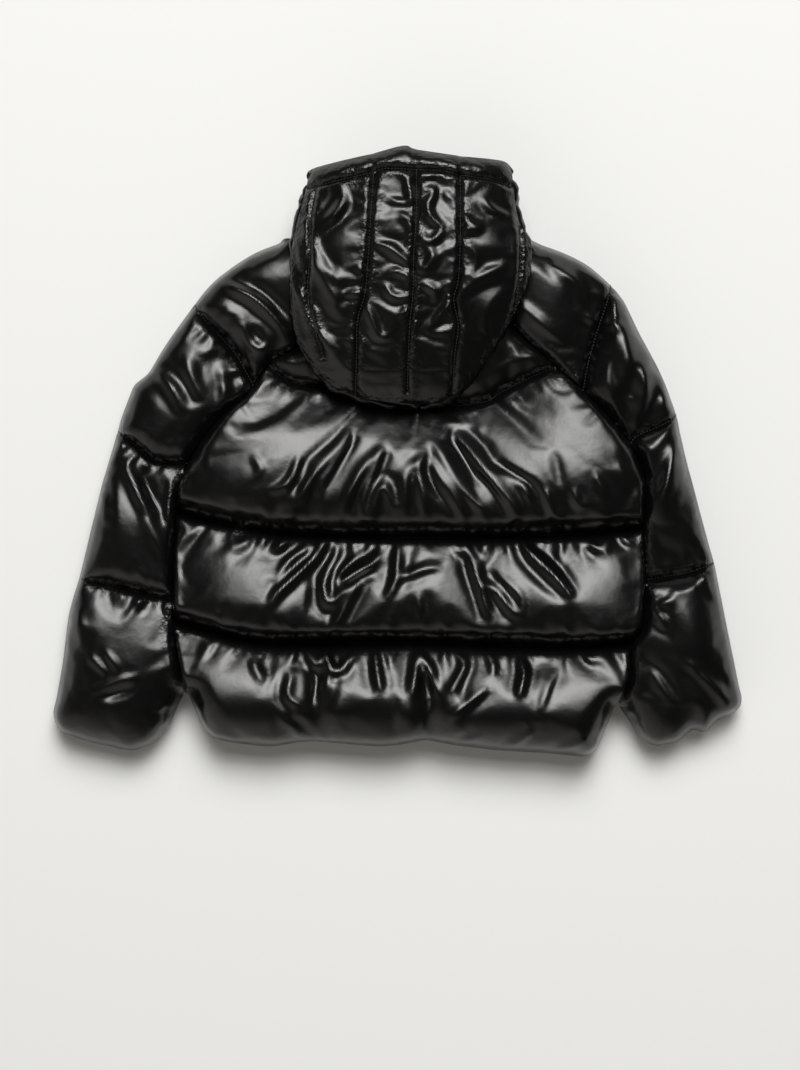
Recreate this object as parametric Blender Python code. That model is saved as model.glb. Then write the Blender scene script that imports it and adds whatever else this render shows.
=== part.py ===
"""A child's hooded puffer jacket, laid flat on its front with the hood thrown back.

+X is to the right seen from above, +Y runs from the hem to the hood and +Z is up from the
surface that the jacket lies on. Tables are in millimetres, and every mesh is made in metres.
The jacket is two layers of quilted panels that lie on each other, with the hood's bag on top.
"""

from collections import namedtuple
from math import pi, radians, sin

import bmesh
import bpy
import numpy as np
from mathutils import Matrix, Vector
from mathutils.geometry import delaunay_2d_cdt

MM = 0.001

# Driving sizes, in millimetres.
SEAM_GAP = 0.3  # between pieces that are sewn together or lie on each other
BESIDE_BODY = 0.5  # more room between a sleeve and the side that it lies against
FRONT_TOP = 17.6  # the fronts and lower sleeves, from the surface to their inner face
BACK_UNDERSIDE = FRONT_TOP + SEAM_GAP
BACK_CREST = 50.0  # the highest puffs of the back
SLEEVE_CREST = 47.0
HOOD_UNDERSIDE = 50.6  # the hood rests on the yoke's puffs
HOOD_SIDE_WALL = 13.0
HOOD_TOP_WALL = 15.0
HOOD_FLOOR_WALL = 9.0
LIP_WALL = 12.0  # the hood's chin edge, which lies on the surface
GRID = 17.0  # triangle size on the panels
EDGE_STEP = 15.0  # point spacing along outlines and quilting
ZIP_X = 6.0  # the line of the centre front
ZIP_HALF_GAP = 7.0  # from that line to the fronts' edges
TAPE_HALF = 6.7
TAPE_LEVELS = (8.2, 9.4)  # from the outer face to the inner one, as for all the zip's levels
CHAIN_HALF = 2.4
CHAIN_LEVELS = (7.4, 10.0)
ZIP_HEM_Y = -286.0
ZIP_TOP_Y = 258.0
BOX_LENGTH = 10.0
SLIDER_Y = 250.0  # the axis that the pull tab swings on
SLIDER_HALF = (4.5, 7.0)
SLIDER_OUTER_LEVELS = (4.4, 7.1)
SLIDER_INNER_LEVELS = (10.3, 11.8)
POST_HALF = 1.8  # the post between the slider's plates
POST_RUN = (-1.0, 4.0)
BAIL_HALF = 0.8
BAIL_LEVELS = (1.0, 2.0)
BAIL_REACH = 5.0
BAIL_FOOT = 1.2
PULL_AXIS_LEVEL = 3.2
PULL_PIN_RADIUS = 0.85
PULL_LENGTH = 30.0
PULL_WINDOW = 9.0
PULL_HALF = (1.5, 3.5)  # half the window and half the tab across
PULL_THICKNESS = 1.5
PULL_REST_TILT = 3.5  # degrees, so that the tab's end lies just off the surface
FAR = 400.0  # past the jacket's edges
UNDER = -20.0  # below the surface, and so past the jacket's underside
OVER = 120.0  # past its top

# The height of each kind of edge, and how far the round shoulder beside it reaches.
NECK_EDGE = (40, 20)
BACK_QUILTING = (25, 44)
BACK_RAGLAN = (30, 34)
BACK_SIDE = (21, 30)
BACK_HEM = (20.5, 40)
SLEEVE_QUILTING = (26, 34)
SLEEVE_RAGLAN = (30, 30)
SLEEVE_OVERARM = (20.5, 38)
SLEEVE_CUFF = (20.5, 34)
SLEEVE_INNER = (22, 28)
FRONT_QUILTING = (7, 16)
FRONT_OPENING = (6.5, 15)
FRONT_SIDE = (13, 22)
FRONT_RAGLAN = (8, 16)
FRONT_HEM = (12, 24)
FRONT_NECK = (4, 12)
# The same for the lower sleeves: three quilting lines, raglan, overarm, cuff, inner edge, neck.
FRONT_SLEEVE = ((8, 16), (8, 16), (8, 16), (8, 16), (13, 24), (12, 22), (13, 20), (4, 12))

Point = namedtuple("Point", "x y")
Edge = namedtuple("Edge", "line height reach")
Section = namedtuple("Section", "y left right side crest")
Pleat = namedtuple("Pleat", "y outer_left inner_left centre inner_right outer_right")


def table(*rows):
    """A short table of points, with the columns x and y."""
    return [Point(*row) for row in rows]


# The panels' edges, each from its upper or left end.
NECKLINE = table((-112, 216), (-72, 210), (0, 206), (85, 212), (124, 223))
RAGLAN_LEFT = table(
    (-72, 210), (-80, 172), (-90, 132), (-101, 106), (-122, 96), (-134, 84),
    (-144, 69), (-154, 57), (-170, 44), (-193, 18), (-210, -9),
)
RAGLAN_RIGHT = table(
    (85, 212), (90, 186), (100, 158), (116, 126), (142, 102), (164, 83),
    (185, 64), (214, 34), (235, 6), (247, -21),
)
SIDE_LEFT = table(
    (-210, -9), (-220, -36), (-222, -58), (-225, -110), (-225, -167), (-221, -200), (-213, -236),
)
SIDE_RIGHT = table(
    (247, -21), (246, -74), (248, -126), (244, -171), (235, -188), (231, -226), (220, -251),
)
HEM = table(
    (-213, -236), (-198, -271), (-187, -284), (-172, -289), (-127, -294), (-87, -289),
    (-17, -294), (30, -288), (52, -292), (102, -298), (152, -301), (188, -304),
    (200, -298), (208, -281), (220, -251),
)
OVERARM_LEFT = table(
    (-112, 216), (-147, 202), (-184, 176), (-205, 151), (-232, 114), (-252, 82), (-265, 71),
    (-279, 36), (-282, 24), (-297, -26), (-307, -66), (-321, -124), (-331, -158), (-338, -211),
    (-347, -261),
)
OVERARM_RIGHT = table(
    (124, 223), (143, 213), (167, 204), (192, 191), (215, 171), (227, 157), (245, 121),
    (262, 89), (280, 44), (289, 4), (315, -94), (319, -108), (327, -146), (337, -196), (347, -246),
)
CUFF_LEFT = table(
    (-347, -261), (-341, -277), (-312, -289), (-289, -294), (-265, -298), (-242, -288),
    (-229, -273), (-219, -251), (-213.6, -237),
)
CUFF_RIGHT = table(
    (347, -246), (342, -258), (322, -268), (310, -281), (297, -277), (282, -289), (257, -293),
    (242, -284), (232, -268), (220.6, -251.5),
)

# The quilting, each line from left to right.
YOKE_LINE = table(
    (-129, 90), (-107, 72), (-67, 66), (-10, 52), (50, 48), (87, 52), (103, 61), (132, 76), (160, 87)
)
WAIST_LINE = table(
    (-222, -58), (-197, -64), (-137, -76), (-97, -80), (-17, -83), (62, -83), (122, -82),
    (192, -79), (246, -74),
)
LOWER_LINE = table(
    (-225, -167), (-192, -175), (-147, -186), (-97, -189), (22, -188), (102, -191), (162, -192),
    (212, -190), (235, -188),
)
UPPER_ARM_LEFT = table((-205, 151), (-194, 136), (-174, 114), (-160, 97), (-144, 69))
FOREARM_LEFT = table((-282, 24), (-262, 9), (-245, -6), (-226, -9), (-210, -9))
WRIST_LEFT = table((-321, -124), (-282, -132), (-247, -141), (-225, -144))
UPPER_ARM_RIGHT = table((215, 171), (210, 154), (200, 124), (190, 89), (185, 64))
FOREARM_RIGHT = table((280, 44), (276, 36), (262, 28), (238, 17), (235, 6))
WRIST_RIGHT = table((319, -108), (292, -118), (270, -122), (248, -126))

# The hood's sections across X, from the fold at its crown to the rim round the face.
HOOD_SECTIONS = [
    Section(45, 6, 30, 57, 60),
    Section(50, -36, 50, 58, 70),
    Section(64, -68, 71, 59, 80),
    Section(79, -84, 83, 60, 86),
    Section(109, -102, 103, 62, 92),
    Section(139, -108, 120, 63, 96),
    Section(170, -110, 133, 63, 98),
    Section(202, -108, 136, 62, 98),
    Section(228, -103, 124, 58, 96),
    Section(250, -97, 120, 54, 92),
    Section(264, -93, 119, 52, 90),
    Section(310, -90, 119, 50, 86),
]
HOOD_PLEATS = [
    Pleat(45, 10, 14, 18, 22, 26),
    Pleat(50, -26, -10, 8, 24, 38),
    Pleat(64, -58, -38, 10, 52, 64),
    Pleat(79, -76, -41, 11, 54, 76),
    Pleat(109, -88, -40, 12, 58, 96),
    Pleat(139, -88, -36, 14, 57, 112),
    Pleat(170, -87, -31, 16, 59, 119),
    Pleat(202, -86, -28, 17, 61, 121),
    Pleat(228, -84, -26, 18, 61, 120),
    Pleat(250, -82, -25, 18, 62, 117),
    Pleat(264, -80, -24, 18, 62, 115),
    Pleat(310, -78, -24, 18, 62, 113),
]
BAND_SEAM = table(
    (-130, 256), (-92, 260), (-80, 263), (-26, 274), (-12, 278), (18, 277), (42, 276), (62, 272),
    (92, 268), (116, 262), (150, 256),
)
RIM = table(
    (-130, 262), (-92, 277), (-87, 282), (-65, 287), (-26, 296), (6, 304), (20, 299), (63, 293),
    (93, 291), (108, 289), (118, 281), (150, 262),
)
HOOD_STATIONS = (
    45, 50, 57, 64, 79, 94, 109, 124, 139, 155, 170, 186, 200, 201, 214, 228, 240, 252, 264, 286, 310
)
NECK_STATION = 200.5  # the hood lies on the body up to here, and on the surface beyond
BAG_STATIONS = (66, 79, 94, 109, 124, 139, 155, 170, 186, 202, 214, 228, 240, 252, 264, 286, 330)
COLLAR = (-90, 104)  # the hollow of the neck, from side to side
BAND_STATION = 280  # the pleats end at the band's seam, before here
RIM_SLANT = 0.45  # how far the rim's plane falls back for each millimetre down
RIM_LEVEL = 84.0  # the height at which the rim and band lines above are drawn
PLEAT_DEPTH = 5.0


def smooth(points, step=EDGE_STEP):
    """A round curve through the points, with a point about every step."""
    nodes = np.array(points, float)
    padded = np.vstack([2 * nodes[0] - nodes[1], nodes, 2 * nodes[-1] - nodes[-2]])
    curve = []
    for a, b, c, d in zip(padded, padded[1:], padded[2:], padded[3:]):
        count = max(1, round(float(np.linalg.norm(c - b)) / step))
        for k in range(count):
            t = k / count
            bend = 2 * a - 5 * b + 4 * c - d
            curl = 3 * b - 3 * c + d - a
            curve.append(0.5 * (2 * b + (c - a) * t + bend * t * t + curl * t ** 3))
    curve.append(nodes[-1])
    return np.array(curve)


def distance(points, line):
    """How far each point lies from a line of many points."""
    nearest = np.full(len(points), np.inf)
    for start, end in zip(line, line[1:]):
        run = end - start
        share = np.clip((points - start) @ run / (run @ run), 0, 1)
        gap = np.linalg.norm(points - start - share[:, None] * run, axis=1)
        nearest = np.minimum(nearest, gap)
    return nearest


def rise(distances, reach):
    """A round shoulder, 0 on a line and 1 from reach away."""
    left = 1 - np.clip(distances / reach, 0, 1)
    return np.sqrt(1 - left * left)


def relief(points, level, edges):
    """The height over each point of a surface at level, which its edges draw to their heights."""
    drop = np.zeros(len(points))
    for edge in edges:
        pull = (level - edge.height) * (1 - rise(distance(points, edge.line), edge.reach))
        drop = np.where(np.abs(pull) > np.abs(drop), pull, drop)
    return level - drop


def inset(loop, gap):
    """A closed outline, anticlockwise, moved inwards by gap."""
    ahead = np.roll(loop, -1, axis=0) - loop
    ahead /= np.linalg.norm(ahead, axis=1)[:, None]
    behind = np.roll(ahead, 1, axis=0)
    turn = ahead + behind
    normal = np.stack([-turn[:, 1], turn[:, 0]], axis=1)
    normal /= np.linalg.norm(normal, axis=1)[:, None]
    return loop + normal * gap


def neck_between(first, last):
    """The stretch of the neckline between two of its table's points."""
    neck = smooth(NECKLINE)
    return neck[(neck[:, 0] > NECKLINE[first].x - 0.1) & (neck[:, 0] < NECKLINE[last].x + 0.1)]


def body_outline():
    """The back's outline, which the two fronts share."""
    return outline(neck_between(1, 3), smooth(RAGLAN_RIGHT), smooth(SIDE_RIGHT), smooth(HEM)[::-1],
                   smooth(SIDE_LEFT)[::-1], smooth(RAGLAN_LEFT)[::-1])


def outline(*stretches):
    """One closed anticlockwise outline from stretches that meet end to end."""
    loop = np.vstack([line[:-1] for line in stretches])
    following = np.roll(loop, -1, axis=0)
    area = np.sum(loop[:, 0] * following[:, 1] - following[:, 0] * loop[:, 1])
    return loop if area > 0 else loop[::-1]


def inside(points, loop):
    """Which points lie inside a closed outline."""
    hits = np.zeros(len(points), bool)
    for start, end in zip(loop, np.roll(loop, -1, axis=0)):
        spans = (start[1] > points[:, 1]) != (end[1] > points[:, 1])
        rising = end[1] - start[1] if end[1] != start[1] else 1.0
        across = start[0] + (points[:, 1] - start[1]) / rising * (end[0] - start[0])
        hits ^= spans & (points[:, 0] < across)
    return hits


def hex_grid(loop, lines):
    """Evenly spread points inside an outline, clear of it and of its lines."""
    low, high = loop.min(axis=0), loop.max(axis=0)
    row = GRID * sin(pi / 3)
    spots = [
        (low[0] + (column + 0.5 * (level % 2)) * GRID, low[1] + level * row)
        for level in range(int((high[1] - low[1]) / row) + 2)
        for column in range(int((high[0] - low[0]) / GRID) + 2)
    ]
    spots = np.array(spots)
    spots = spots[inside(spots, loop)]
    for line in [np.vstack([loop, loop[:1]])] + lines:
        spots = spots[distance(spots, line) > 0.55 * GRID]
    return spots


def triangles(loop, lines, spots):
    """Points and anticlockwise triangles that fill an outline and follow its lines."""
    points, edges = [Vector(p) for p in loop], []
    for line in lines:
        first = len(points)
        kept = line[inside(line, loop) & (distance(line, np.vstack([loop, loop[:1]])) > 0.3 * GRID)]
        points += [Vector(p) for p in kept]
        edges += [(k, k + 1) for k in range(first, len(points) - 1)]
    points += [Vector(p) for p in spots]
    made = delaunay_2d_cdt(points, edges, [list(range(len(loop)))], 1, 1e-4)
    corners = np.array([tuple(p) for p in made[0]])
    faces = []
    for face in made[2]:
        a, b, c = (corners[k] for k in face)
        turn = (b[0] - a[0]) * (c[1] - a[1]) - (b[1] - a[1]) * (c[0] - a[0])
        faces.append(tuple(face) if turn > 0 else tuple(reversed(face)))
    return corners, faces


def material(name, colour, roughness, metallic=0.0):
    """A plain finish, shared by every piece that names it."""
    made = bpy.data.materials.get(name) or bpy.data.materials.new(name)
    made.use_nodes = True
    shader = made.node_tree.nodes["Principled BSDF"]
    shader.inputs["Base Color"].default_value = (*colour, 1)
    shader.inputs["Roughness"].default_value = roughness
    shader.inputs["Metallic"].default_value = metallic
    return made


def shell():
    return material("coated_nylon", (0.012, 0.012, 0.013), 0.28)


def add_object(name, mesh, finish):
    made = bpy.data.objects.new(name, mesh)
    mesh.materials.append(finish)
    bpy.context.collection.objects.link(made)
    return made


def closed_mesh(name, corners, faces):
    """A closed mesh in metres from points in millimetres, its faces pointing out."""
    shape = bmesh.new()
    spots = [shape.verts.new(Vector(corner) * MM) for corner in corners]
    for face in faces:
        shape.faces.new([spots[k] for k in face])
    bmesh.ops.recalc_face_normals(shape, faces=shape.faces)
    mesh = bpy.data.meshes.new(name)
    shape.to_mesh(mesh)
    shape.free()
    mesh.shade_smooth()
    mesh.set_sharp_from_angle(angle=0.9)
    return mesh


def rim_of(faces):
    """The points round a patch of triangles, in order."""
    pairs = {pair for face in faces for pair in zip(face, face[1:] + face[:1])}
    after = {start: end for start, end in pairs if (end, start) not in pairs}
    ring = [min(after)]
    while after[ring[-1]] != ring[0]:
        ring.append(after[ring[-1]])
    return ring


def add_slab(name, loop, quilting, top, underside):
    """A padded panel: a closed slab, each face at a number or at a function of its points."""
    loop = inset(loop, SEAM_GAP / 2)
    corners, faces = triangles(loop, quilting, hex_grid(loop, quilting))
    ring = rim_of(faces)
    solid, skin, rims = [], [], []
    for height, turned in ((top, False), (underside, True)):
        first = len(solid)
        if callable(height):
            solid += [(*corner, z) for corner, z in zip(corners, height(corners))]
            rims.append([first + k for k in ring])
            patch = faces
        else:
            solid += [(*corners[k], height) for k in ring]
            rims.append([first + k for k in range(len(ring))])
            patch = delaunay_2d_cdt([Vector(corners[k]) for k in ring], [],
                                    [list(range(len(ring)))], 1, 1e-4)[2]
        patch = [[first + k for k in face] for face in patch]
        skin += [face[::-1] if turned else face for face in patch]
    upper, lower = rims
    for k in range(len(ring)):
        skin.append([upper[k], upper[k - 1], lower[k - 1], lower[k]])
    return add_object(name, closed_mesh(name, solid, skin), shell())


def side_of(loop, limit, keep_left):
    """The part of an outline to the left or right of a line along Y."""
    sign = 1 if keep_left else -1
    kept = []
    for a, b in zip(loop, np.roll(loop, -1, axis=0)):
        gap_a, gap_b = sign * (limit - a[0]), sign * (limit - b[0])
        if gap_a >= 0:
            kept.append(a)
        if gap_a * gap_b < 0:
            kept.append(a + (b - a) * gap_a / (gap_a - gap_b))
    return np.array(kept)


def build_upper_layer():
    """The back and the two back sleeves, which the quilting divides into puffs."""
    neck, hem = smooth(NECKLINE), smooth(HEM)
    body = body_outline()
    rows = [smooth(line) for line in (YOKE_LINE, WAIST_LINE, LOWER_LINE)]
    edges = [Edge(row, *BACK_QUILTING) for row in rows]
    edges += [Edge(smooth(line), *BACK_RAGLAN) for line in (RAGLAN_LEFT, RAGLAN_RIGHT)]
    edges += [Edge(smooth(line), *BACK_SIDE) for line in (SIDE_LEFT, SIDE_RIGHT)]
    edges += [Edge(hem, *BACK_HEM), Edge(neck, *NECK_EDGE)]
    add_slab("back", body, rows, lambda points: relief(points, BACK_CREST, edges), BACK_UNDERSIDE)
    for side in ("left", "right"):
        loop, quilting, edges = sleeve_edges(side)
        add_slab("sleeve_%s_back" % side, loop, quilting,
                 lambda points, edges=edges: relief(points, SLEEVE_CREST, edges), BACK_UNDERSIDE)


def sleeve_edges(side):
    """One sleeve's outline, its quilting, and its edges with their heights."""
    left = side == "left"
    neck = neck_between(0, 1) if left else neck_between(3, 4)[::-1]
    raglan = smooth(RAGLAN_LEFT if left else RAGLAN_RIGHT)
    overarm = smooth(OVERARM_LEFT if left else OVERARM_RIGHT)
    cuff = smooth(CUFF_LEFT if left else CUFF_RIGHT)
    inner = smooth(SIDE_LEFT if left else SIDE_RIGHT) + [-BESIDE_BODY if left else BESIDE_BODY, 0]
    loop = outline(neck, raglan, inner, cuff[::-1], overarm[::-1])
    names = (UPPER_ARM_LEFT, FOREARM_LEFT, WRIST_LEFT)
    if not left:
        names = (UPPER_ARM_RIGHT, FOREARM_RIGHT, WRIST_RIGHT)
    quilting = [smooth(line) for line in names]
    edges = [Edge(line, *SLEEVE_QUILTING) for line in quilting]
    edges += [Edge(raglan, *SLEEVE_RAGLAN), Edge(overarm, *SLEEVE_OVERARM)]
    edges += [Edge(cuff, *SLEEVE_CUFF), Edge(inner, *SLEEVE_INNER), Edge(neck, *NECK_EDGE)]
    return loop, quilting, edges


def build_lower_layer():
    """The two fronts and the two front sleeves, flat where they lie on the surface."""
    neck, hem = smooth(NECKLINE), smooth(HEM)
    body = body_outline()
    rows = [smooth(line) for line in (YOKE_LINE, WAIST_LINE, LOWER_LINE)]
    for side, edge_x in (("left", ZIP_X - ZIP_HALF_GAP), ("right", ZIP_X + ZIP_HALF_GAP)):
        loop = side_of(body, edge_x, side == "left")
        opening = np.array([(edge_x, FAR), (edge_x, -FAR)])
        edges = [Edge(row, *FRONT_QUILTING) for row in rows] + [Edge(opening, *FRONT_OPENING)]
        edges += [Edge(smooth(line), *FRONT_SIDE) for line in (SIDE_LEFT, SIDE_RIGHT)]
        edges += [Edge(smooth(line), *FRONT_RAGLAN) for line in (RAGLAN_LEFT, RAGLAN_RIGHT)]
        edges += [Edge(hem, *FRONT_HEM), Edge(neck, *FRONT_NECK)]
        add_slab("front_%s" % side, loop, rows, FRONT_TOP,
                 lambda points, edges=edges: relief(points, 0.0, edges))
    for side in ("left", "right"):
        loop, quilting, upper = sleeve_edges(side)
        edges = [Edge(edge.line, *shoulder) for edge, shoulder in zip(upper, FRONT_SLEEVE, strict=True)]
        add_slab("sleeve_%s_front" % side, loop, quilting, FRONT_TOP,
                 lambda points, edges=edges: relief(points, 0.0, edges))


def row_at(rows, y):
    """A row of a table at any y between its rows."""
    stations = [row.y for row in rows]
    return type(rows[0])(*(np.interp(y, stations, column) for column in zip(*rows)))


def hood_section(y, wall_side, wall_top, floor):
    """One closed section of the hood across X, drawn in by its walls, as points in XZ."""
    size, pleat = row_at(HOOD_SECTIONS, y), row_at(HOOD_PLEATS, y)
    left, right = size.left + wall_side, size.right - wall_side
    middle, half = (left + right) / 2, (right - left) / 2
    seams = sorted(min(max(x, left + 2), right - 2) for x in pleat[1:])
    stops = [left] + seams + [right]
    columns = [left]
    for start, end in zip(stops, stops[1:]):
        columns += [start + (end - start) * share for share in (0.33, 0.67, 1)]
    crest = max(size.crest - wall_top, floor + 2)
    side = min(max(size.side, floor + 1), crest - 0.5)
    loop = []
    for order, x in enumerate(columns):
        share = abs((x - middle) / half)
        z = side + (crest - side) * (1 - min(share, 1) ** 2.6) ** 0.5
        pinch = PLEAT_DEPTH if order % 3 == 0 and 0 < order < len(columns) - 1 else 0
        loop.append((x, z - pinch * min(1, (crest - side) / 25)))
    corner = min(8.0, half / 3)
    loop += [(right - 0.3 * corner, (floor + side) / 2), (right - corner, floor)]
    loop += [(left + corner, floor), (left + 0.3 * corner, (floor + side) / 2)]
    return loop


def add_loft(name, stations, walls, floor_at):
    """A closed loft of hood sections at the given stations along Y."""
    side, top = walls
    corners, faces = [], []
    for y in stations:
        corners += [(x, y, z) for x, z in hood_section(y, side, top, floor_at(y))]
    count = len(corners) // len(stations)
    for row in range(len(stations) - 1):
        for k in range(count):
            a, b = row * count + k, row * count + (k + 1) % count
            faces.append((a, b, b + count, a + count))
    faces += [tuple(range(count)), tuple(range(len(corners) - count, len(corners)))]
    mesh = closed_mesh(name, corners, faces)
    shape = bmesh.new()
    shape.from_mesh(mesh)
    bmesh.ops.triangulate(shape, faces=shape.faces)
    shape.to_mesh(mesh)
    shape.free()
    return add_object(name, mesh, shell())


def add_prism(name, loop, low, high, slant=0.0, level=0.0):
    """A closed prism over a plan outline, from low to high, leaning along Y by slant."""
    count = len(loop)
    corners = [(x, y + slant * (z - level), z) for z in (low, high) for x, y in loop]
    faces = [tuple(range(count)), tuple(range(count, 2 * count))]
    faces += [(k, (k + 1) % count, count + (k + 1) % count, count + k) for k in range(count)]
    return add_object(name, closed_mesh(name, corners, faces), shell())


def cut(target, cutters):
    """Take each cutter out of the target, and remove the cutters."""
    for cutter in cutters:
        step = target.modifiers.new("cut", "BOOLEAN")
        step.operation = "DIFFERENCE"
        step.object = cutter
    bpy.context.view_layer.update()
    seen = target.evaluated_get(bpy.context.evaluated_depsgraph_get())
    mesh = bpy.data.meshes.new_from_object(seen)
    target.modifiers.clear()
    target.data = mesh
    for cutter in cutters:
        bpy.data.objects.remove(cutter)


def strip_outline(line, width):
    """The plan outline of a thin blade that follows a line."""
    line = np.array(line, float)
    ahead = np.gradient(line, axis=0)
    normal = np.stack([-ahead[:, 1], ahead[:, 0]], axis=1)
    normal /= np.linalg.norm(normal, axis=1)[:, None]
    return np.vstack([line + normal * width / 2, (line - normal * width / 2)[::-1]])


def split_loose(target):
    """Each separate body of a mesh as its own list of vertices and faces."""
    shape = bmesh.new()
    shape.from_mesh(target.data)
    bmesh.ops.remove_doubles(shape, verts=shape.verts, dist=1e-7)
    todo, bodies = set(shape.verts), []
    while todo:
        start = todo.pop()
        body, edge = {start}, [start]
        while edge:
            for link in edge.pop().link_edges:
                for vert in link.verts:
                    if vert not in body:
                        body.add(vert)
                        edge.append(vert)
        todo -= body
        order = {vert: k for k, vert in enumerate(body)}
        corners = [tuple(vert.co / MM) for vert in order]
        faces = [tuple(order[v] for v in face.verts) for face in shape.faces if face.verts[0] in body]
        bodies.append((corners, faces))
    shape.free()
    return bodies


def build_hood():
    """The hood: a bag of two side panels and a centre panel, with a tunnel band round the face."""
    neck = smooth(NECKLINE)
    neck_y = float(neck[:, 1].min())
    shape = add_loft("hood", HOOD_STATIONS, (0, 0), lambda y: HOOD_UNDERSIDE if y < NECK_STATION else 0.0)
    floor = HOOD_UNDERSIDE + HOOD_FLOOR_WALL
    hollow = add_loft("hood_hollow", BAG_STATIONS, (HOOD_SIDE_WALL, HOOD_TOP_WALL), lambda y: floor)
    seam = neck + [0, SEAM_GAP]
    beyond = np.vstack([[(-FAR, seam[0][1])], seam, [(FAR, seam[-1][1])], [(FAR, 0)], [(-FAR, 0)]])
    clearance = add_prism("body_clearance", beyond, UNDER, HOOD_UNDERSIDE)
    inner = np.array([p for p in seam if COLLAR[0] < p[0] < COLLAR[1]])
    mouth = np.vstack([inner - [0, 3], [(inner[-1][0], FAR)], [(inner[0][0], FAR)]])
    neck_hollow = add_prism("neck_hollow", mouth, LIP_WALL, floor + 2)
    rim_line = smooth(RIM)
    outside = np.vstack([[(rim_line[0][0], FAR)], rim_line, [(rim_line[-1][0], FAR)]])
    rim_cut = add_prism("rim_cut", outside, UNDER, OVER, RIM_SLANT, RIM_LEVEL)
    slot = [(ZIP_X - ZIP_HALF_GAP, neck_y - 20), (ZIP_X + ZIP_HALF_GAP, neck_y - 20),
            (ZIP_X + ZIP_HALF_GAP, FAR), (ZIP_X - ZIP_HALF_GAP, FAR)]
    zip_slot = add_prism("zip_slot", slot, UNDER, 30)
    band = smooth(BAND_SEAM)
    band_blade = add_prism("band_blade", strip_outline(band, SEAM_GAP), UNDER, OVER, RIM_SLANT, RIM_LEVEL)
    pleats = [row for row in HOOD_PLEATS if row.y < BAND_STATION]
    blades = []
    for column in ("inner_left", "inner_right"):
        line = [(getattr(row, column), row.y) for row in pleats]
        line = [(line[0][0], 20)] + line
        line[-1] = (line[-1][0], float(np.interp(line[-1][0], band[:, 0], band[:, 1])))
        blades.append(add_prism("panel_blade", strip_outline(smooth(line), SEAM_GAP), 40, OVER))
    cut(shape, [hollow, clearance, neck_hollow, rim_cut, zip_slot, band_blade] + blades)
    bodies = split_loose(shape)
    bpy.data.objects.remove(shape)
    bodies.sort(key=lambda body: max(corner[1] for corner in body[0]))
    band = bodies.pop()
    bodies.sort(key=lambda body: np.mean([corner[0] for corner in body[0]]))
    names = ("hood_side_left", "hood_centre", "hood_side_right", "hood_band")
    for name, (corners, faces) in zip(names, bodies + [band], strict=True):
        add_object(name, closed_mesh(name, corners, faces), shell())


def block(low, high):
    """The corners and faces of a box between two corners."""
    corners = [(x, y, z) for z in (low[2], high[2]) for y in (low[1], high[1]) for x in (low[0], high[0])]
    faces = [(0, 2, 3, 1), (4, 5, 7, 6), (0, 1, 5, 4), (1, 3, 7, 5), (3, 2, 6, 7), (2, 0, 4, 6)]
    return corners, faces


def add_block(name, low, high, finish, bevel=0.0):
    """A box between two corners in millimetres, with its edges broken by bevel."""
    mesh = closed_mesh(name, *block(low, high))
    if bevel:
        shape = bmesh.new()
        shape.from_mesh(mesh)
        bmesh.ops.bevel(shape, geom=list(shape.edges), offset=bevel * MM, segments=1, affect="EDGES")
        shape.to_mesh(mesh)
        shape.free()
    return add_object(name, mesh, finish)


def join(target, others):
    """Make one closed body of a piece and the blocks that stand in it."""
    for other in others:
        step = target.modifiers.new("join", "BOOLEAN")
        step.operation = "UNION"
        step.object = other
    bpy.context.view_layer.update()
    seen = target.evaluated_get(bpy.context.evaluated_depsgraph_get())
    mesh = bpy.data.meshes.new_from_object(seen)
    target.modifiers.clear()
    target.data = mesh
    for other in others:
        bpy.data.objects.remove(other)


def build_zip():
    """The open-ended zip of the centre front: two tapes, the chain, the box and the slider."""
    tape = material("zip_tape", (0.015, 0.015, 0.016), 0.8)
    plastic = material("zip_chain", (0.02, 0.02, 0.021), 0.35)
    box_top = ZIP_HEM_Y + BOX_LENGTH
    for side, sign in (("left", -1), ("right", 1)):
        across = sorted((ZIP_X + sign * TAPE_HALF, ZIP_X + sign * (CHAIN_HALF + SEAM_GAP)))
        add_block("zip_tape_%s" % side, (across[0], box_top + SEAM_GAP, TAPE_LEVELS[0]),
                  (across[1], ZIP_TOP_Y, TAPE_LEVELS[1]), tape)
    add_block("zip_chain", (ZIP_X - CHAIN_HALF, box_top + SEAM_GAP, CHAIN_LEVELS[0]),
              (ZIP_X + CHAIN_HALF, SLIDER_Y - 3, CHAIN_LEVELS[1]), plastic)
    add_block("zip_box", (ZIP_X - TAPE_HALF + 1, ZIP_HEM_Y, CHAIN_LEVELS[0] - 0.8),
              (ZIP_X + TAPE_HALF - 1, box_top, CHAIN_LEVELS[1] + 0.8), plastic, 0.6)


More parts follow.
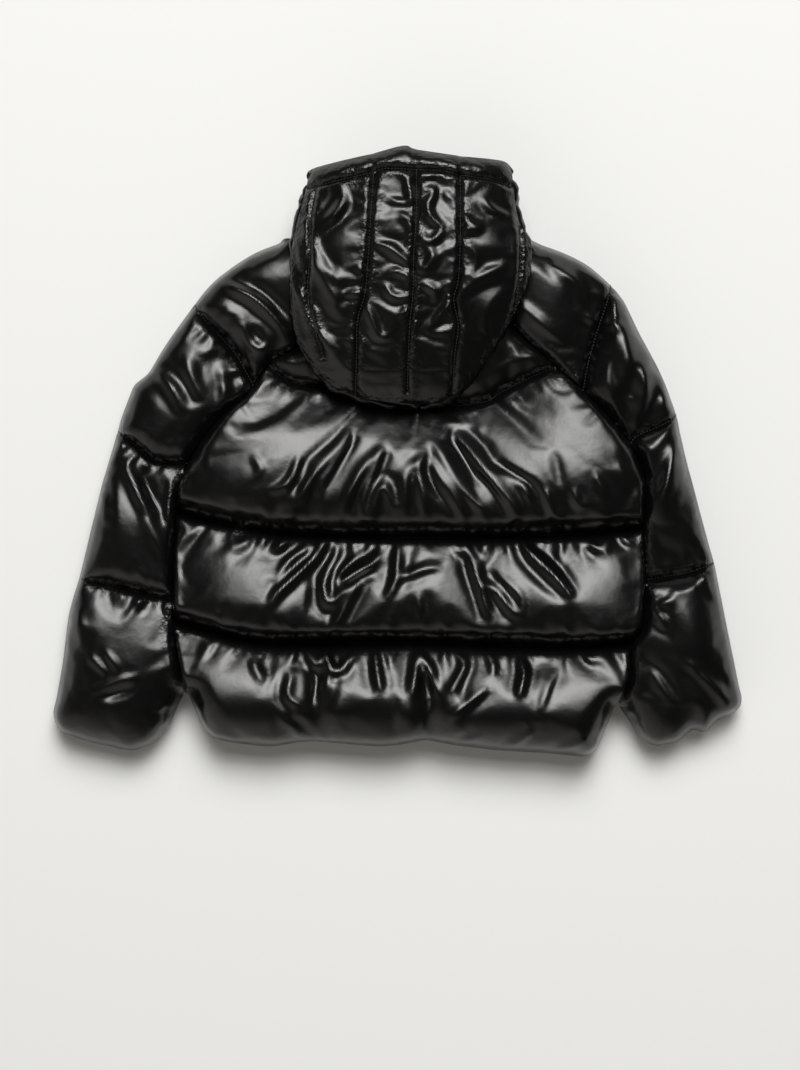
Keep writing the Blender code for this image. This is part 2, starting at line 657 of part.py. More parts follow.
def build_slider():
    """The slider, whose plates hold the chain between them, with its bail and pull tab."""
    steel = material("slider_metal", (0.03, 0.03, 0.032), 0.3, 1.0)
    half_x, half_y = SLIDER_HALF
    low_y, high_y = SLIDER_Y - half_y, SLIDER_Y + half_y
    slider = add_block("zip_slider", (ZIP_X - half_x, low_y, SLIDER_OUTER_LEVELS[0]),
                       (ZIP_X + half_x, high_y, SLIDER_OUTER_LEVELS[1]), steel, 0.8)
    inner = add_block("inner_plate", (ZIP_X - half_x, low_y, SLIDER_INNER_LEVELS[0]),
                      (ZIP_X + half_x, high_y, SLIDER_INNER_LEVELS[1]), steel, 0.5)
    post = add_block("post", (ZIP_X - POST_HALF, SLIDER_Y + POST_RUN[0], SLIDER_OUTER_LEVELS[1] - 1),
                     (ZIP_X + POST_HALF, SLIDER_Y + POST_RUN[1], SLIDER_INNER_LEVELS[0] + 1), steel)
    bail = add_block("bail", (ZIP_X - BAIL_HALF, SLIDER_Y - BAIL_REACH, BAIL_LEVELS[0]),
                     (ZIP_X + BAIL_HALF, SLIDER_Y + BAIL_REACH, SLIDER_OUTER_LEVELS[0] + 1), steel)
    eye_reach = BAIL_REACH - BAIL_FOOT
    eye = add_block("eye", (ZIP_X - half_x, SLIDER_Y - eye_reach, BAIL_LEVELS[1]),
                    (ZIP_X + half_x, SLIDER_Y + eye_reach, SLIDER_OUTER_LEVELS[0]), steel)
    cut(bail, [eye])
    join(slider, [inner, post, bail])

    window, half_tab = PULL_HALF
    low_z, high_z = -PULL_THICKNESS / 2, PULL_THICKNESS / 2
    pull = add_block("zip_pull", (-half_tab, -PULL_LENGTH, low_z), (half_tab, 0, high_z), steel)
    hole = add_block("window", (-window, -PULL_WINDOW, -2), (window, 2, 2), steel)
    cut(pull, [hole])
    pin_mesh = bpy.data.meshes.new("pin")
    shape = bmesh.new()
    bmesh.ops.create_cone(shape, cap_ends=True, segments=16, radius1=PULL_PIN_RADIUS * MM,
                          radius2=PULL_PIN_RADIUS * MM, depth=2 * half_tab * MM,
                          matrix=Matrix.Rotation(pi / 2, 4, "Y"))
    shape.to_mesh(pin_mesh)
    shape.free()
    pin = add_object("pin", pin_mesh, steel)
    join(pull, [pin])
    pull.location = Vector((ZIP_X, SLIDER_Y, PULL_AXIS_LEVEL)) * MM
    pull.rotation_euler = (radians(PULL_REST_TILT), 0, 0)


def clear_scene():
    for old in list(bpy.data.objects):
        bpy.data.objects.remove(old)


def centre_on_origin():
    """Move every piece so that the middle of the jacket's underside is at the origin."""
    bpy.context.view_layer.update()
    pieces = [piece for piece in bpy.data.objects if piece.type == "MESH"]
    corners = np.array([piece.matrix_world @ vert.co for piece in pieces for vert in piece.data.vertices])
    low, high = corners.min(axis=0), corners.max(axis=0)
    shift = Vector(((low[0] + high[0]) / 2, (low[1] + high[1]) / 2, low[2]))
    for piece in pieces:
        piece.location -= shift


def main():
    clear_scene()
    build_upper_layer()
    build_lower_layer()
    build_hood()
    build_zip()
    build_slider()
    centre_on_origin()


main()
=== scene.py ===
"""The looks of a child's hooded puffer jacket, laid flat on its front with the hood thrown back.

Each padded panel is a fine cloth that is filled with air between its lines of quilting, over the
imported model's own outlines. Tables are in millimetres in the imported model's frame, and every mesh
is made in metres. +X is to the right seen from above, +Y runs from the hem to the hood.
"""

import math
from collections import namedtuple
from functools import partial

import bmesh
import bpy
import numpy as np
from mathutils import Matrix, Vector, noise
from mathutils.geometry import delaunay_2d_cdt
from mathutils.kdtree import KDTree


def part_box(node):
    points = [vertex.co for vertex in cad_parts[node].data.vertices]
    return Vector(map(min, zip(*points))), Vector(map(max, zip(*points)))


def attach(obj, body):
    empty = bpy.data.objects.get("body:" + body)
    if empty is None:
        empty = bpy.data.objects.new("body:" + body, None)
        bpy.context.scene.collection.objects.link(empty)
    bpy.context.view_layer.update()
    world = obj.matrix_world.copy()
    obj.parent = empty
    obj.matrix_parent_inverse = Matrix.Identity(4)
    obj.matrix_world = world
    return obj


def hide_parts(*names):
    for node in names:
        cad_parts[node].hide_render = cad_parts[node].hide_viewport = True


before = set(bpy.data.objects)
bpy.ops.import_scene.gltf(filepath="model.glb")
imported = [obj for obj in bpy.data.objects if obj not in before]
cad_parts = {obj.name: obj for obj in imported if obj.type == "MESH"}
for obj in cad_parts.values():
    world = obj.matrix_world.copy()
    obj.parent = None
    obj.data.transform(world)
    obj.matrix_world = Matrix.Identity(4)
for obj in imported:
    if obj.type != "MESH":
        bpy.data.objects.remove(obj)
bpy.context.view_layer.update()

bl_info = {
    "name": "Puffer jacket",
    "version": (1, 0, 0),
    "blender": (4, 5, 0),
    "location": "3D View > Sidebar > Jacket",
    "description": "Builds the padded panels, quilting, hood, zip and studio of a puffer jacket",
    "category": "Object",
}

MM = 0.001
MERGE = 1e-6
BODY = "jacket"

Point = namedtuple("Point", "x y")
Edge = namedtuple("Edge", "line height reach below shape")
Fold = namedtuple("Fold", "width height points")
Section = namedtuple("Section", "y left right side crest")
Pleats = namedtuple("Pleats", "length height spacing sides")


def table(*rows):
    """A short table of points, with the columns x and y."""
    return [Point(*row) for row in rows]


# The quilting of the back, each line from left to right.
YOKE_LINE = table(
    (-132, 92), (-107, 72), (-67, 66), (-10, 52), (50, 48), (87, 52), (103, 61), (132, 76), (163, 89)
)
WAIST_LINE = table(
    (-226, -56), (-197, -64), (-137, -76), (-97, -80), (-17, -83), (62, -83), (122, -82),
    (192, -79), (249, -73),
)
LOWER_LINE = table(
    (-229, -165), (-192, -175), (-147, -186), (-97, -189), (22, -188), (102, -191), (162, -192),
    (212, -190), (240, -187),
)
# The quilting of the sleeves, each line from the outer edge inwards.
UPPER_ARM_LEFT = table((-208, 156), (-194, 136), (-174, 114), (-160, 97), (-143, 67))
FOREARM_LEFT = table((-286, 27), (-262, 9), (-245, -6), (-226, -9), (-206, -9))
WRIST_LEFT = table((-325, -123), (-282, -132), (-247, -141), (-221, -145))
UPPER_ARM_RIGHT = table((216, 176), (210, 154), (200, 124), (190, 89), (185, 60))
FOREARM_RIGHT = table((285, 47), (276, 36), (262, 28), (238, 17), (231, 5))
WRIST_RIGHT = table((323, -107), (292, -118), (270, -122), (244, -126))
BODY_ROWS = [YOKE_LINE, WAIST_LINE, LOWER_LINE]
LEFT_ROWS = [UPPER_ARM_LEFT, FOREARM_LEFT, WRIST_LEFT]
RIGHT_ROWS = [UPPER_ARM_RIGHT, FOREARM_RIGHT, WRIST_RIGHT]

# The hood seen from above: its sections across X, then its seams and quilting from the band down.
HOOD_SECTIONS = [
    Section(45, 6, 30, 57, 60),
    Section(50, -36, 50, 58, 72),
    Section(64, -68, 71, 59, 82),
    Section(79, -84, 83, 60, 88),
    Section(109, -102, 103, 62, 93),
    Section(139, -108, 120, 63, 96),
    Section(170, -110, 133, 63, 98),
    Section(202, -108, 136, 62, 98),
    Section(228, -103, 124, 58, 96),
    Section(250, -97, 120, 54, 92),
    Section(264, -93, 119, 52, 90),
    Section(310, -90, 119, 50, 86),
]
HOOD_LEFT_QUILT = table((-80, 262), (-85, 234), (-86, 194), (-88, 154), (-82, 124), (-72, 92))
HOOD_LEFT_SEAM = table(
    (-23.5, 273), (-26, 234), (-29, 184), (-32, 154), (-39, 129), (-40, 94), (-42, 50)
)
HOOD_MID_QUILT = table((18.5, 276), (18.5, 234), (16, 194), (15, 154), (12, 124), (10, 74), (10, 60))
HOOD_RIGHT_SEAM = table(
    (61.5, 272), (61.5, 214), (59.5, 169), (55, 149), (59.5, 124), (56, 94), (54, 50)
)
HOOD_RIGHT_QUILT = table((115.5, 261), (121, 209), (119, 164), (113, 129), (98, 96))
BAND_SEAM = table(
    (-94, 260), (-80, 263), (-26, 274), (-12, 278), (18, 277), (42, 276), (62, 272),
    (92, 268), (120, 261),
)
RIM = table(
    (-92, 275), (-87, 282), (-65, 287), (-26, 295), (6, 303), (20, 299), (63, 293),
    (93, 291), (108, 289), (117, 280),
)

# Heights, in millimetres above the surface that the jacket lies on.
BACK_CRESTS = (56.0, 70.0)
SLEEVE_CRESTS = (56.0, 56.0)
FREE_LEVEL = 20.0
QUILT_LEVEL = 37.0
SEAM_LEVEL = 42.0
SIDE_LEVEL = 45.0
NECK_LEVEL = 40.0
UPPER_FLOOR = 18.0  # the flat side of the upper layer
LOWER_CEILING = 17.5  # the flat side of the lower layer, just under it
LOWEST = 0.05  # the cloth that rests on the surface is no lower than this

# Where a panel's outline changes what it meets.
MEETING_GAP = 2.2
ARMPITS = {"left": -15, "right": -28}
NECK_FROM, NECK_MIDDLE, NECK_HALF = 202, 6, 122

# Lengths in the cloth, in millimetres too.
OUTLINE_STEP = 3.0
LOWER_STEP = 5.0
INNER_STEP = 24.0  # the hidden inner sides are this coarse
SEWN = 0.5  # cloth this near a line is sewn down
SEAM_REACH = 9.0  # the fine puckers beside a seam fade over this
# How far inside its packed outline a cloth is drawn: filled cloth bulges past its free edge.
UPPER_INSETS = {"free": 0.9, "side": -0.8, "seam": 0.1, "neck": 0.1}
LOWER_INSETS = {"free": 2.4, "side": 0.3, "seam": 0.3, "neck": 0.3}
STITCH_LIFT = 0.35
STITCH_SHARE, STITCH_UNEVEN = 0.36, (0.85, 1.15)  # half a stitch's length, as a share of its pitch
# As shares of the cloth's step: how far its points keep from a line, and lines from the edge.
POINT_CLEARANCE, LINE_CLEARANCE = 0.6, 0.4
# How much of a long shoulder's height and reach is its steep start, and how sharply edges meet.
STEEP_SHARE, STEEP_REACH = 0.2, 0.18
SHARPNESS = 4
# Small puckers: their width and lean, the distances over which they rise and flare, and where
# they are over, as a share of their length.
PLEAT_WIDTH, PLEAT_LEAN = (2.4, 5.0), (-0.4, 0.4)
PLEAT_START, PLEAT_FLARE, PLEAT_END = 4, 60, 2.2
UPPER_PLEATS = Pleats((8, 24), (2.2, 4.6), (4, 12), (1.0, 0.6))
SEAM_PLEATS = Pleats((6, 20), (0.4, 1.6), (8, 20), (1, 1))
LOWER_PLEATS = Pleats((8, 24), (0.5, 1.6), (6, 15), (1.0, 0.6))
HOOD_PLEATS = Pleats((4, 10), (0.8, 2.4), (4, 10), (1, 1))
# A fold's width at its ends and what its middle adds, then the shallow trough along each side of
# it: its depth, how far out it lies and its width, as shares of the fold's.
FOLD_STEP = 2.0
FOLD_WIDTH, FOLD_MIDDLE = 0.8, 0.45
DIP_DEPTH, DIP_PLACE, DIP_WIDTH = 0.25, 2.4, 1.1

# How full of filling each layer is.
UPPER_FULL, LOWER_FULL, HOOD_FULL = 0.7, 0.5, 0.6
# How many frames the filling is blown in for, and how far it may move the cloth.
UPPER_FILLING = (32, 16)
LOWER_FILLING = (16, 8)
HOOD_FILLING = (28, 12)


class JacketSettings(bpy.types.PropertyGroup):
    """The sizes and colours that a user of the jacket would change."""

    cloth_step: bpy.props.FloatProperty(
        name="Cloth step", description="Point spacing of the shell cloth", default=0.0032,
        min=0.001, max=0.01, subtype="DISTANCE", unit="LENGTH")
    pressure: bpy.props.FloatProperty(
        name="Filling pressure", description="How hard the filling presses on the shell", default=4.5,
        min=0.0, max=50.0)
    slack: bpy.props.FloatProperty(
        name="Slack", description="How much longer the shell is than its quilting", default=0.012,
        min=0.0, max=0.2, subtype="FACTOR")
    shell_colour: bpy.props.FloatVectorProperty(
        name="Shell colour", description="Colour of the coated nylon", default=(0.0022, 0.0022, 0.0023),
        size=3, subtype="COLOR")
    shell_roughness: bpy.props.FloatProperty(
        name="Shell roughness", description="Roughness of the coated nylon", default=0.25,
        min=0.0, max=1.0, subtype="FACTOR")
    stitch_pitch: bpy.props.FloatProperty(
        name="Stitch pitch", description="Length of one stitch with its gap", default=0.0032,
        min=0.001, max=0.01, subtype="DISTANCE", unit="LENGTH")
    thread: bpy.props.FloatProperty(
        name="Thread", description="Thickness of the sewing thread", default=0.0005,
        min=0.0001, max=0.002, subtype="DISTANCE", unit="LENGTH")
    tooth_pitch: bpy.props.FloatProperty(
        name="Tooth pitch", description="Distance between two teeth of one side", default=0.0032,
        min=0.001, max=0.01, subtype="DISTANCE", unit="LENGTH")
    floor_colour: bpy.props.FloatVectorProperty(
        name="Floor colour", description="Colour of the studio floor", default=(0.885, 0.885, 0.88),
        size=3, subtype="COLOR")


def settings():
    return bpy.context.scene.jacket_settings


# Lines, outlines and the cloth over them.

def smooth(points, step, closed=False):
    """A round curve through the points, with a point about every step."""
    nodes = np.array(points, float)
    if closed:
        padded = np.vstack([nodes[-1:], nodes, nodes[:2]])
    else:
        padded = np.vstack([2 * nodes[0] - nodes[1], nodes, 2 * nodes[-1] - nodes[-2]])
    curve = []
    for a, b, c, d in zip(padded, padded[1:], padded[2:], padded[3:]):
        count = max(1, round(float(np.linalg.norm(c - b)) / step))
        for k in range(count):
            t = k / count
            bend = 2 * a - 5 * b + 4 * c - d
            curl = 3 * b - 3 * c + d - a
            curve.append(0.5 * (2 * b + (c - a) * t + bend * t * t + curl * t ** 3))
    if not closed:
        curve.append(nodes[-1])
    return np.array(curve)


def along(points, line):
    """Each point's distance from a line, the side that it lies on and how far along it is."""
    nearest = np.full(len(points), np.inf)
    side, reached, passed = np.zeros(len(points)), np.zeros(len(points)), 0.0
    for start, end in zip(line, line[1:]):
        run = end - start
        length = float(np.hypot(*run))
        share = np.clip((points - start) @ run / (run @ run), 0, 1)
        away = points - start - share[:, None] * run
        gap = np.hypot(away[:, 0], away[:, 1])
        nearer = gap < nearest
        nearest[nearer] = gap[nearer]
        side[nearer] = (run[0] * away[:, 1] - run[1] * away[:, 0])[nearer]
        reached[nearer] = (passed + share * length)[nearer]
        passed += length
    return nearest, np.sign(side), reached


def rise(distances, reach, shape="round"):
    """A shoulder, 0 on a line and 1 from reach away: round, or steep and then a long slope."""
    if shape == "round":
        left = 1 - np.clip(distances / reach, 0, 1)
        return np.sqrt(1 - left * left)
    slope = 1 - (1 - np.clip(distances / reach, 0, 1)) ** 1.5
    return STEEP_SHARE * rise(distances, STEEP_REACH * reach, "round") + (1 - STEEP_SHARE) * slope


def inset(loop, gap):
    """A closed anticlockwise outline, moved inwards by a gap at each point, and the points kept."""
    ahead = np.roll(loop, -1, axis=0) - loop
    ahead /= np.linalg.norm(ahead, axis=1)[:, None]
    turn = ahead + np.roll(ahead, 1, axis=0)
    normal = np.stack([-turn[:, 1], turn[:, 0]], axis=1)
    normal /= np.linalg.norm(normal, axis=1)[:, None]
    moved = loop + normal * np.reshape(gap, (-1, 1))
    uncrowded = along(moved, closed(loop))[0] > 0.95 * np.abs(gap) - 0.01
    return moved[uncrowded], uncrowded


def smooth_outline(loop, step, sharp=0.8):
    """A closed outline with round curves between its sharp corners."""
    ahead = np.roll(loop, -1, axis=0) - loop
    heading = np.arctan2(ahead[:, 1], ahead[:, 0])
    turn = np.abs((heading - np.roll(heading, 1) + np.pi) % (2 * np.pi) - np.pi)
    corners = np.nonzero(turn > sharp)[0]
    if not len(corners):
        return smooth(loop, step, closed=True)
    ring = np.roll(loop, -corners[0], axis=0)
    ends = list(corners - corners[0]) + [len(ring)]
    ring = closed(ring)
    return np.vstack([smooth(ring[a:b + 1], step)[:-1] for a, b in zip(ends, ends[1:])])


def turned_left(loop):
    """The outline, anticlockwise."""
    after = np.roll(loop, -1, axis=0)
    return loop if np.sum(loop[:, 0] * after[:, 1] - after[:, 0] * loop[:, 1]) > 0 else loop[::-1]


def inside(points, loop):
    """Which points lie inside a closed outline."""
    hits = np.zeros(len(points), bool)
    for start, end in zip(loop, np.roll(loop, -1, axis=0)):
        spans = (start[1] > points[:, 1]) != (end[1] > points[:, 1])
        rising = end[1] - start[1] if end[1] != start[1] else 1.0
        across = start[0] + (points[:, 1] - start[1]) / rising * (end[0] - start[0])
        hits ^= spans & (points[:, 0] < across)
    return hits


def closed(loop):
    return np.vstack([loop, loop[:1]])


def merged(node):
    """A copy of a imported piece, in metres, with its loose triangles joined."""
    shape = bmesh.new()
    shape.from_mesh(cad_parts[node].data)
    bmesh.ops.remove_doubles(shape, verts=shape.verts, dist=MERGE)
    return shape


def rim_of(node):
    """The plan outline, in millimetres, of the flat side of a packed panel."""
    shape = merged(node)
    low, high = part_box(node)
    level = low.z if low.z > MM else high.z
    flat = {face for face in shape.faces if all(abs(v.co.z - level) < 10 * MERGE for v in face.verts)}
    after = {}
    for face in shape.faces:
        for loop in face.loops if face in flat else ():
            if not any(other in flat for other in loop.edge.link_faces if other is not face):
                after[loop.vert] = loop.link_loop_next.vert
    start = min(after, key=lambda v: (v.co.x, v.co.y))
    ring = [start]
    while after[ring[-1]] is not start:
        ring.append(after[ring[-1]])
    outline = np.array([(v.co.x, v.co.y) for v in ring]) / MM
    shape.free()
    return turned_left(outline)


def fill(loop, lines, step):
    """Points and anticlockwise triangles that fill an outline evenly and follow its lines."""
    low, high = loop.min(axis=0), loop.max(axis=0)
    row = step * math.sin(math.pi / 3)
    columns, levels = int((high[0] - low[0]) / step) + 2, int((high[1] - low[1]) / row) + 2
    across, up = np.meshgrid(np.arange(columns), np.arange(levels))
    spots = np.stack([low[0] + (across + 0.5 * (up % 2)) * step, low[1] + up * row], axis=-1)
    spots = spots.reshape(-1, 2)
    spots = spots[inside(spots, loop)]
    for line in [closed(loop)] + lines:
        spots = spots[along(spots, line)[0] > POINT_CLEARANCE * step]
    points, edges = [Vector(p) for p in loop], []
    for line in lines:
        first = len(points)
        kept = line[inside(line, loop) & (along(line, closed(loop))[0] > LINE_CLEARANCE * step)]
        points += [Vector(p) for p in kept]
        edges += [(k, k + 1) for k in range(first, len(points) - 1)]
    points += [Vector(p) for p in spots]
    made = delaunay_2d_cdt(points, edges, [list(range(len(loop)))], 1, 1e-4)
    corners = np.array([tuple(p) for p in made[0]])
    faces = np.array(made[2])
    a, b, c = (corners[faces[:, k]] for k in range(3))
    turn = (b[:, 0] - a[:, 0]) * (c[:, 1] - a[:, 1]) - (b[:, 1] - a[:, 1]) * (c[:, 0] - a[:, 0])
    faces[turn < 0] = faces[turn < 0][:, ::-1]
    return corners, faces


def boundary(faces):
    """The rings of points round a set of anticlockwise triangles."""
    pairs = {(int(f[k]), int(f[(k + 1) % 3])) for f in faces for k in range(3)}
    after = {}
    for first, second in sorted(pairs):
        if (second, first) not in pairs:
            after.setdefault(first, []).append(second)
    rings = []
    while after:
        start = next(iter(after))
        ring, nearby = [start], start
        while True:
            ways = after[nearby]
            reached = ways.pop()
            if not ways:
                del after[nearby]
            nearby = reached
            if nearby == start:
                break
            ring.append(nearby)
        rings.append(ring)
    return rings


def relief(points, crest, edges):
    """The height of a filled cloth over each point, drawn down softly to its edges' heights."""
    fall = np.zeros(len(points))
    for edge in edges:
        gap, side, _ = along(points, edge.line)
        reach = np.where(side < 0, edge.below, edge.reach)
        fall += ((crest - edge.height) * (1 - rise(gap, reach, edge.shape))) ** SHARPNESS
    return crest - fall ** (1 / SHARPNESS)


def pleats(points, line, seed, kind):
    """Small uneven puckers that run off a line of quilting, below it and above it."""
    random = np.random.default_rng(seed)
    gap, side, reached = along(points, line)
    near = np.nonzero(gap < PLEAT_END * kind.length[1])[0]
    gap, side, reached = gap[near], side[near], reached[near]
    total, place, lift = float(reached.max()), 0.0, np.zeros(len(near))
    while place < total:
        place += random.uniform(*kind.spacing)
        width, reach = random.uniform(*PLEAT_WIDTH), random.uniform(*kind.length)
        size, lean = random.uniform(*kind.height), random.uniform(*PLEAT_LEAN)
        across = (reached - place - lean * gap) / (width * (1 + gap / PLEAT_FLARE))
        start = np.clip(gap / PLEAT_START, 0, 1)
        pucker = size * np.exp(-across * across) * start * np.exp(-(gap / reach) ** 2)
        lift += np.where(side < 0, *kind.sides) * pucker
    whole = np.zeros(len(points))
    whole[near] = lift
    return whole


def fold(width, height, *points):
    """A listed fold: a ridge through the points, or a trough where the height is below 0."""
    return Fold(width, height, points)


def fold_relief(points, folds):
    """The lift of the listed folds over each point."""
    lift = np.zeros(len(points))
    for item in folds:
        line = smooth(item.points, FOLD_STEP)
        low, high = line.min(axis=0) - 4 * item.width, line.max(axis=0) + 4 * item.width
        near = np.nonzero(np.all((points > low) & (points < high), axis=1))[0]
        if not len(near):
            continue
        gap, _, reached = along(points[near], line)
        length = float(np.sum(np.hypot(*np.diff(line, axis=0).T)))
        taper = np.sin(np.pi * np.clip(reached / length, 0, 1)) ** 0.5
        wide = item.width * (FOLD_WIDTH + FOLD_MIDDLE * taper)
        ridge = np.exp(-(gap / wide) ** 2)
        dip = DIP_DEPTH * np.exp(-((gap - DIP_PLACE * wide) / (DIP_WIDTH * wide)) ** 2)
        lift[near] += item.height * taper * (ridge - dip)
    return lift


def spots_of(mesh):
    """A mesh's points, in metres."""
    spots = np.zeros(len(mesh.vertices) * 3)
    mesh.vertices.foreach_get("co", spots)
    return spots.reshape(-1, 3)


def settle(piece):
    """Give a piece the mesh that its modifiers make, and take them off."""
    seen = piece.evaluated_get(bpy.context.evaluated_depsgraph_get())
    final = bpy.data.meshes.new_from_object(seen)
    piece.modifiers.clear()
    piece.data = final
    return final


def new_object(name, mesh):
    made = bpy.data.objects.new(name, mesh)
    bpy.context.collection.objects.link(made)
    return made


def cloth_object(name, points, heights, faces, pinned):
    """A mesh in metres with its held points in the group held."""
    mesh = bpy.data.meshes.new(name)
    mesh.from_pydata(np.column_stack([points, heights]) * MM, [], faces.tolist())
    made = new_object(name, mesh)
    group = made.vertex_groups.new(name="held")
    group.add(np.nonzero(pinned)[0].tolist(), 1.0, "REPLACE")
    return made


SHELL_CLOTH = {
    "quality": 5,
    "mass": 0.12,
    "tension_stiffness": 20,
    "compression_stiffness": 20,
    "shear_stiffness": 8,
    "bending_stiffness": 0.05,
    "tension_damping": 5,
    "compression_damping": 5,
    "shear_damping": 5,
    "bending_damping": 0.5,
    "air_damping": 2,
    "use_pressure": True,
    "vertex_group_mass": "held",
}


def inflate(pieces, frames, cap, pressure=None, slack=None):
    """Fill each cloth with air between its held points, and keep the shape that it takes.

    No point moves further than cap, in millimetres.
    """
    scene = bpy.context.scene
    starts = {piece: spots_of(piece.data) for piece in pieces}
    for piece in pieces:
        step = piece.modifiers.new("filling", "CLOTH")
        cloth = step.settings
        for key, value in SHELL_CLOTH.items():
            setattr(cloth, key, value)
        cloth.uniform_pressure_force = settings().pressure if pressure is None else pressure
        cloth.shrink_min = -(settings().slack if slack is None else slack)
        cloth.effector_weights.gravity = 0
        step.collision_settings.use_collision = False
        step.point_cache.frame_end = frames
    for number in range(1, frames + 1):
        scene.frame_set(number)
    seen = bpy.context.evaluated_depsgraph_get()
    shapes = {piece: bpy.data.meshes.new_from_object(piece.evaluated_get(seen)) for piece in pieces}
    for piece in pieces:
        piece.modifiers.clear()
        moved = spots_of(shapes[piece]) - starts[piece]
        far = np.linalg.norm(moved, axis=1)
        moved *= np.minimum(1, cap * MM / np.maximum(far, 1e-9))[:, None]
        piece.data.vertices.foreach_set("co", (starts[piece] + moved).ravel())
        piece.data.update()
    scene.frame_set(1)


def relax(points, faces, held, rounds):
    """The points, drawn towards the middle of their neighbours except where they are held."""
    pairs = np.vstack([faces[:, [0, 1]], faces[:, [1, 2]], faces[:, [2, 0]]])
    pairs = np.unique(np.sort(pairs, axis=1), axis=0)
    count = np.bincount(pairs.ravel(), minlength=len(points))[:, None]
    for _ in range(rounds):
        total = np.zeros_like(points)
        for axis in range(3):
            total[:, axis] += np.bincount(pairs[:, 0], points[pairs[:, 1], axis], len(points))
            total[:, axis] += np.bincount(pairs[:, 1], points[pairs[:, 0], axis], len(points))
        middle = total / np.maximum(count, 1)
        points = np.where(held[:, None], points, 0.5 * points + 0.5 * middle)
    return points


def hold(points, faces, lines):
    """Which points of a cloth are sewn down: those round its edge and those on its lines."""
    held = np.zeros(len(points), bool)
    held[sorted({k for ring in boundary(faces) for k in ring})] = True
    for line in lines:
        held |= along(points, line)[0] < SEWN
    return held


def close_body(name, points, faces, inner, held, flip):
    """A closed body: a fine outer cloth, sharp along its held lines, and a coarse inner side.

    The attribute seam is 1 on the held lines and fades beside them.
    """
    solid = [tuple(p) for p in points]
    skin = [tuple(int(k) for k in face) for face in faces]
    for ring in boundary(faces):
        plan = points[ring][:, :2]
        corners, inner_faces = fill(plan, [], INNER_STEP)
        heights = inner(corners)
        first = len(solid)
        solid += [(x, y, z) for (x, y), z in zip(corners, heights)]
        skin += [tuple(first + int(k) for k in face[::-1]) for face in inner_faces]
        count = len(ring)
        for k in range(count):
            a, b = k, (k + 1) % count
            skin.append((ring[b], ring[a], first + a, first + b))
    shape = bmesh.new()
    crease = shape.edges.layers.float.new("crease_edge")
    closeness = shape.verts.layers.float.new("seam")
    spots = [shape.verts.new(Vector(p) * MM) for p in solid]
    for face in skin:
        shape.faces.new([spots[k] for k in (face[::-1] if flip else face)])
    tree = KDTree(int(np.count_nonzero(held)))
    for k in np.nonzero(held)[0]:
        tree.insert(spots[k].co, int(k))
    tree.balance()
    for spot in spots[:len(points)]:
        spot[closeness] = math.exp(-(tree.find(spot.co)[2] / (SEAM_REACH * MM)) ** 2)
    sewn = {spots[k] for k in np.nonzero(held)[0]}
    for edge in shape.edges:
        if edge.verts[0] in sewn and edge.verts[1] in sewn:
            edge.smooth = False
            edge[crease] = 1.0
    bmesh.ops.delete(shape, geom=[v for v in shape.verts if not v.link_faces], context="VERTS")
    bmesh.ops.recalc_face_normals(shape, faces=shape.faces)
    triangles = [face for face in shape.faces if len(face.verts) == 3]
    bmesh.ops.join_triangles(shape, faces=triangles, cmp_sharp=True, angle_face_threshold=0.7,
                             angle_shape_threshold=1.2)
    mesh = bpy.data.meshes.new(name)
    shape.to_mesh(mesh)
    shape.free()
    return new_object(name, mesh)


def place_piece(piece, slot, *nodes, fill_share=None):
    """Put a finished piece on the jacket's body and hide the imported pieces that it stands for."""
    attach(piece, BODY)
    if nodes:
        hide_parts(*nodes)


def padded_panel(node, points, faces, inner, held, fill_share, flip=False):
    """A closed padded piece in place of a packed one, with its shell smoothed and finished."""
    piece = close_body(node + "_panel", points, faces, inner, held, flip)
    step = piece.modifiers.new("fine", "SUBSURF")
    step.levels = step.render_levels = 1
    piece.data.materials.append(shell_finish())
    place_piece(piece, "shell_nylon", node, fill_share=fill_share)


def level_side(level):
    """A flat inner side at one height."""
    return lambda spots: np.full(len(spots), level)


# Finishes.

def add_node(tree, kind, options, inputs, output=0):
    """A node of a kind, its options set first and then its inputs; returns one output."""
    made = tree.nodes.new(kind)
    for key, option in options.items():
        setattr(made, key, option)
    for key, value in inputs.items():
        feed(tree, made.inputs[key], value)
    return made.outputs[output]


def feed(tree, socket, value):
    """Link a node's output to a socket, or give the socket a plain value."""
    if isinstance(value, Value):
        value = value.socket
    if isinstance(value, bpy.types.NodeSocket):
        tree.links.new(value, socket)
    else:
        socket.default_value = value


class Value:
    """A number inside a material, on which Python's arithmetic adds Math nodes."""

    def __init__(self, finish, socket):
        self.finish = finish
        self.socket = socket

    def maths(self, operation, *values):
        return self.finish.node("ShaderNodeMath", {"operation": operation}, dict(enumerate(values)))

    def __add__(self, other):
        return self.maths("ADD", self, other)

    def __sub__(self, other):
        return self.maths("SUBTRACT", self, other)

    def __mul__(self, other):
        return self.maths("MULTIPLY", self, other)

    def __rsub__(self, other):
        return self.maths("SUBTRACT", other, self)

    __radd__ = __add__
    __rmul__ = __mul__


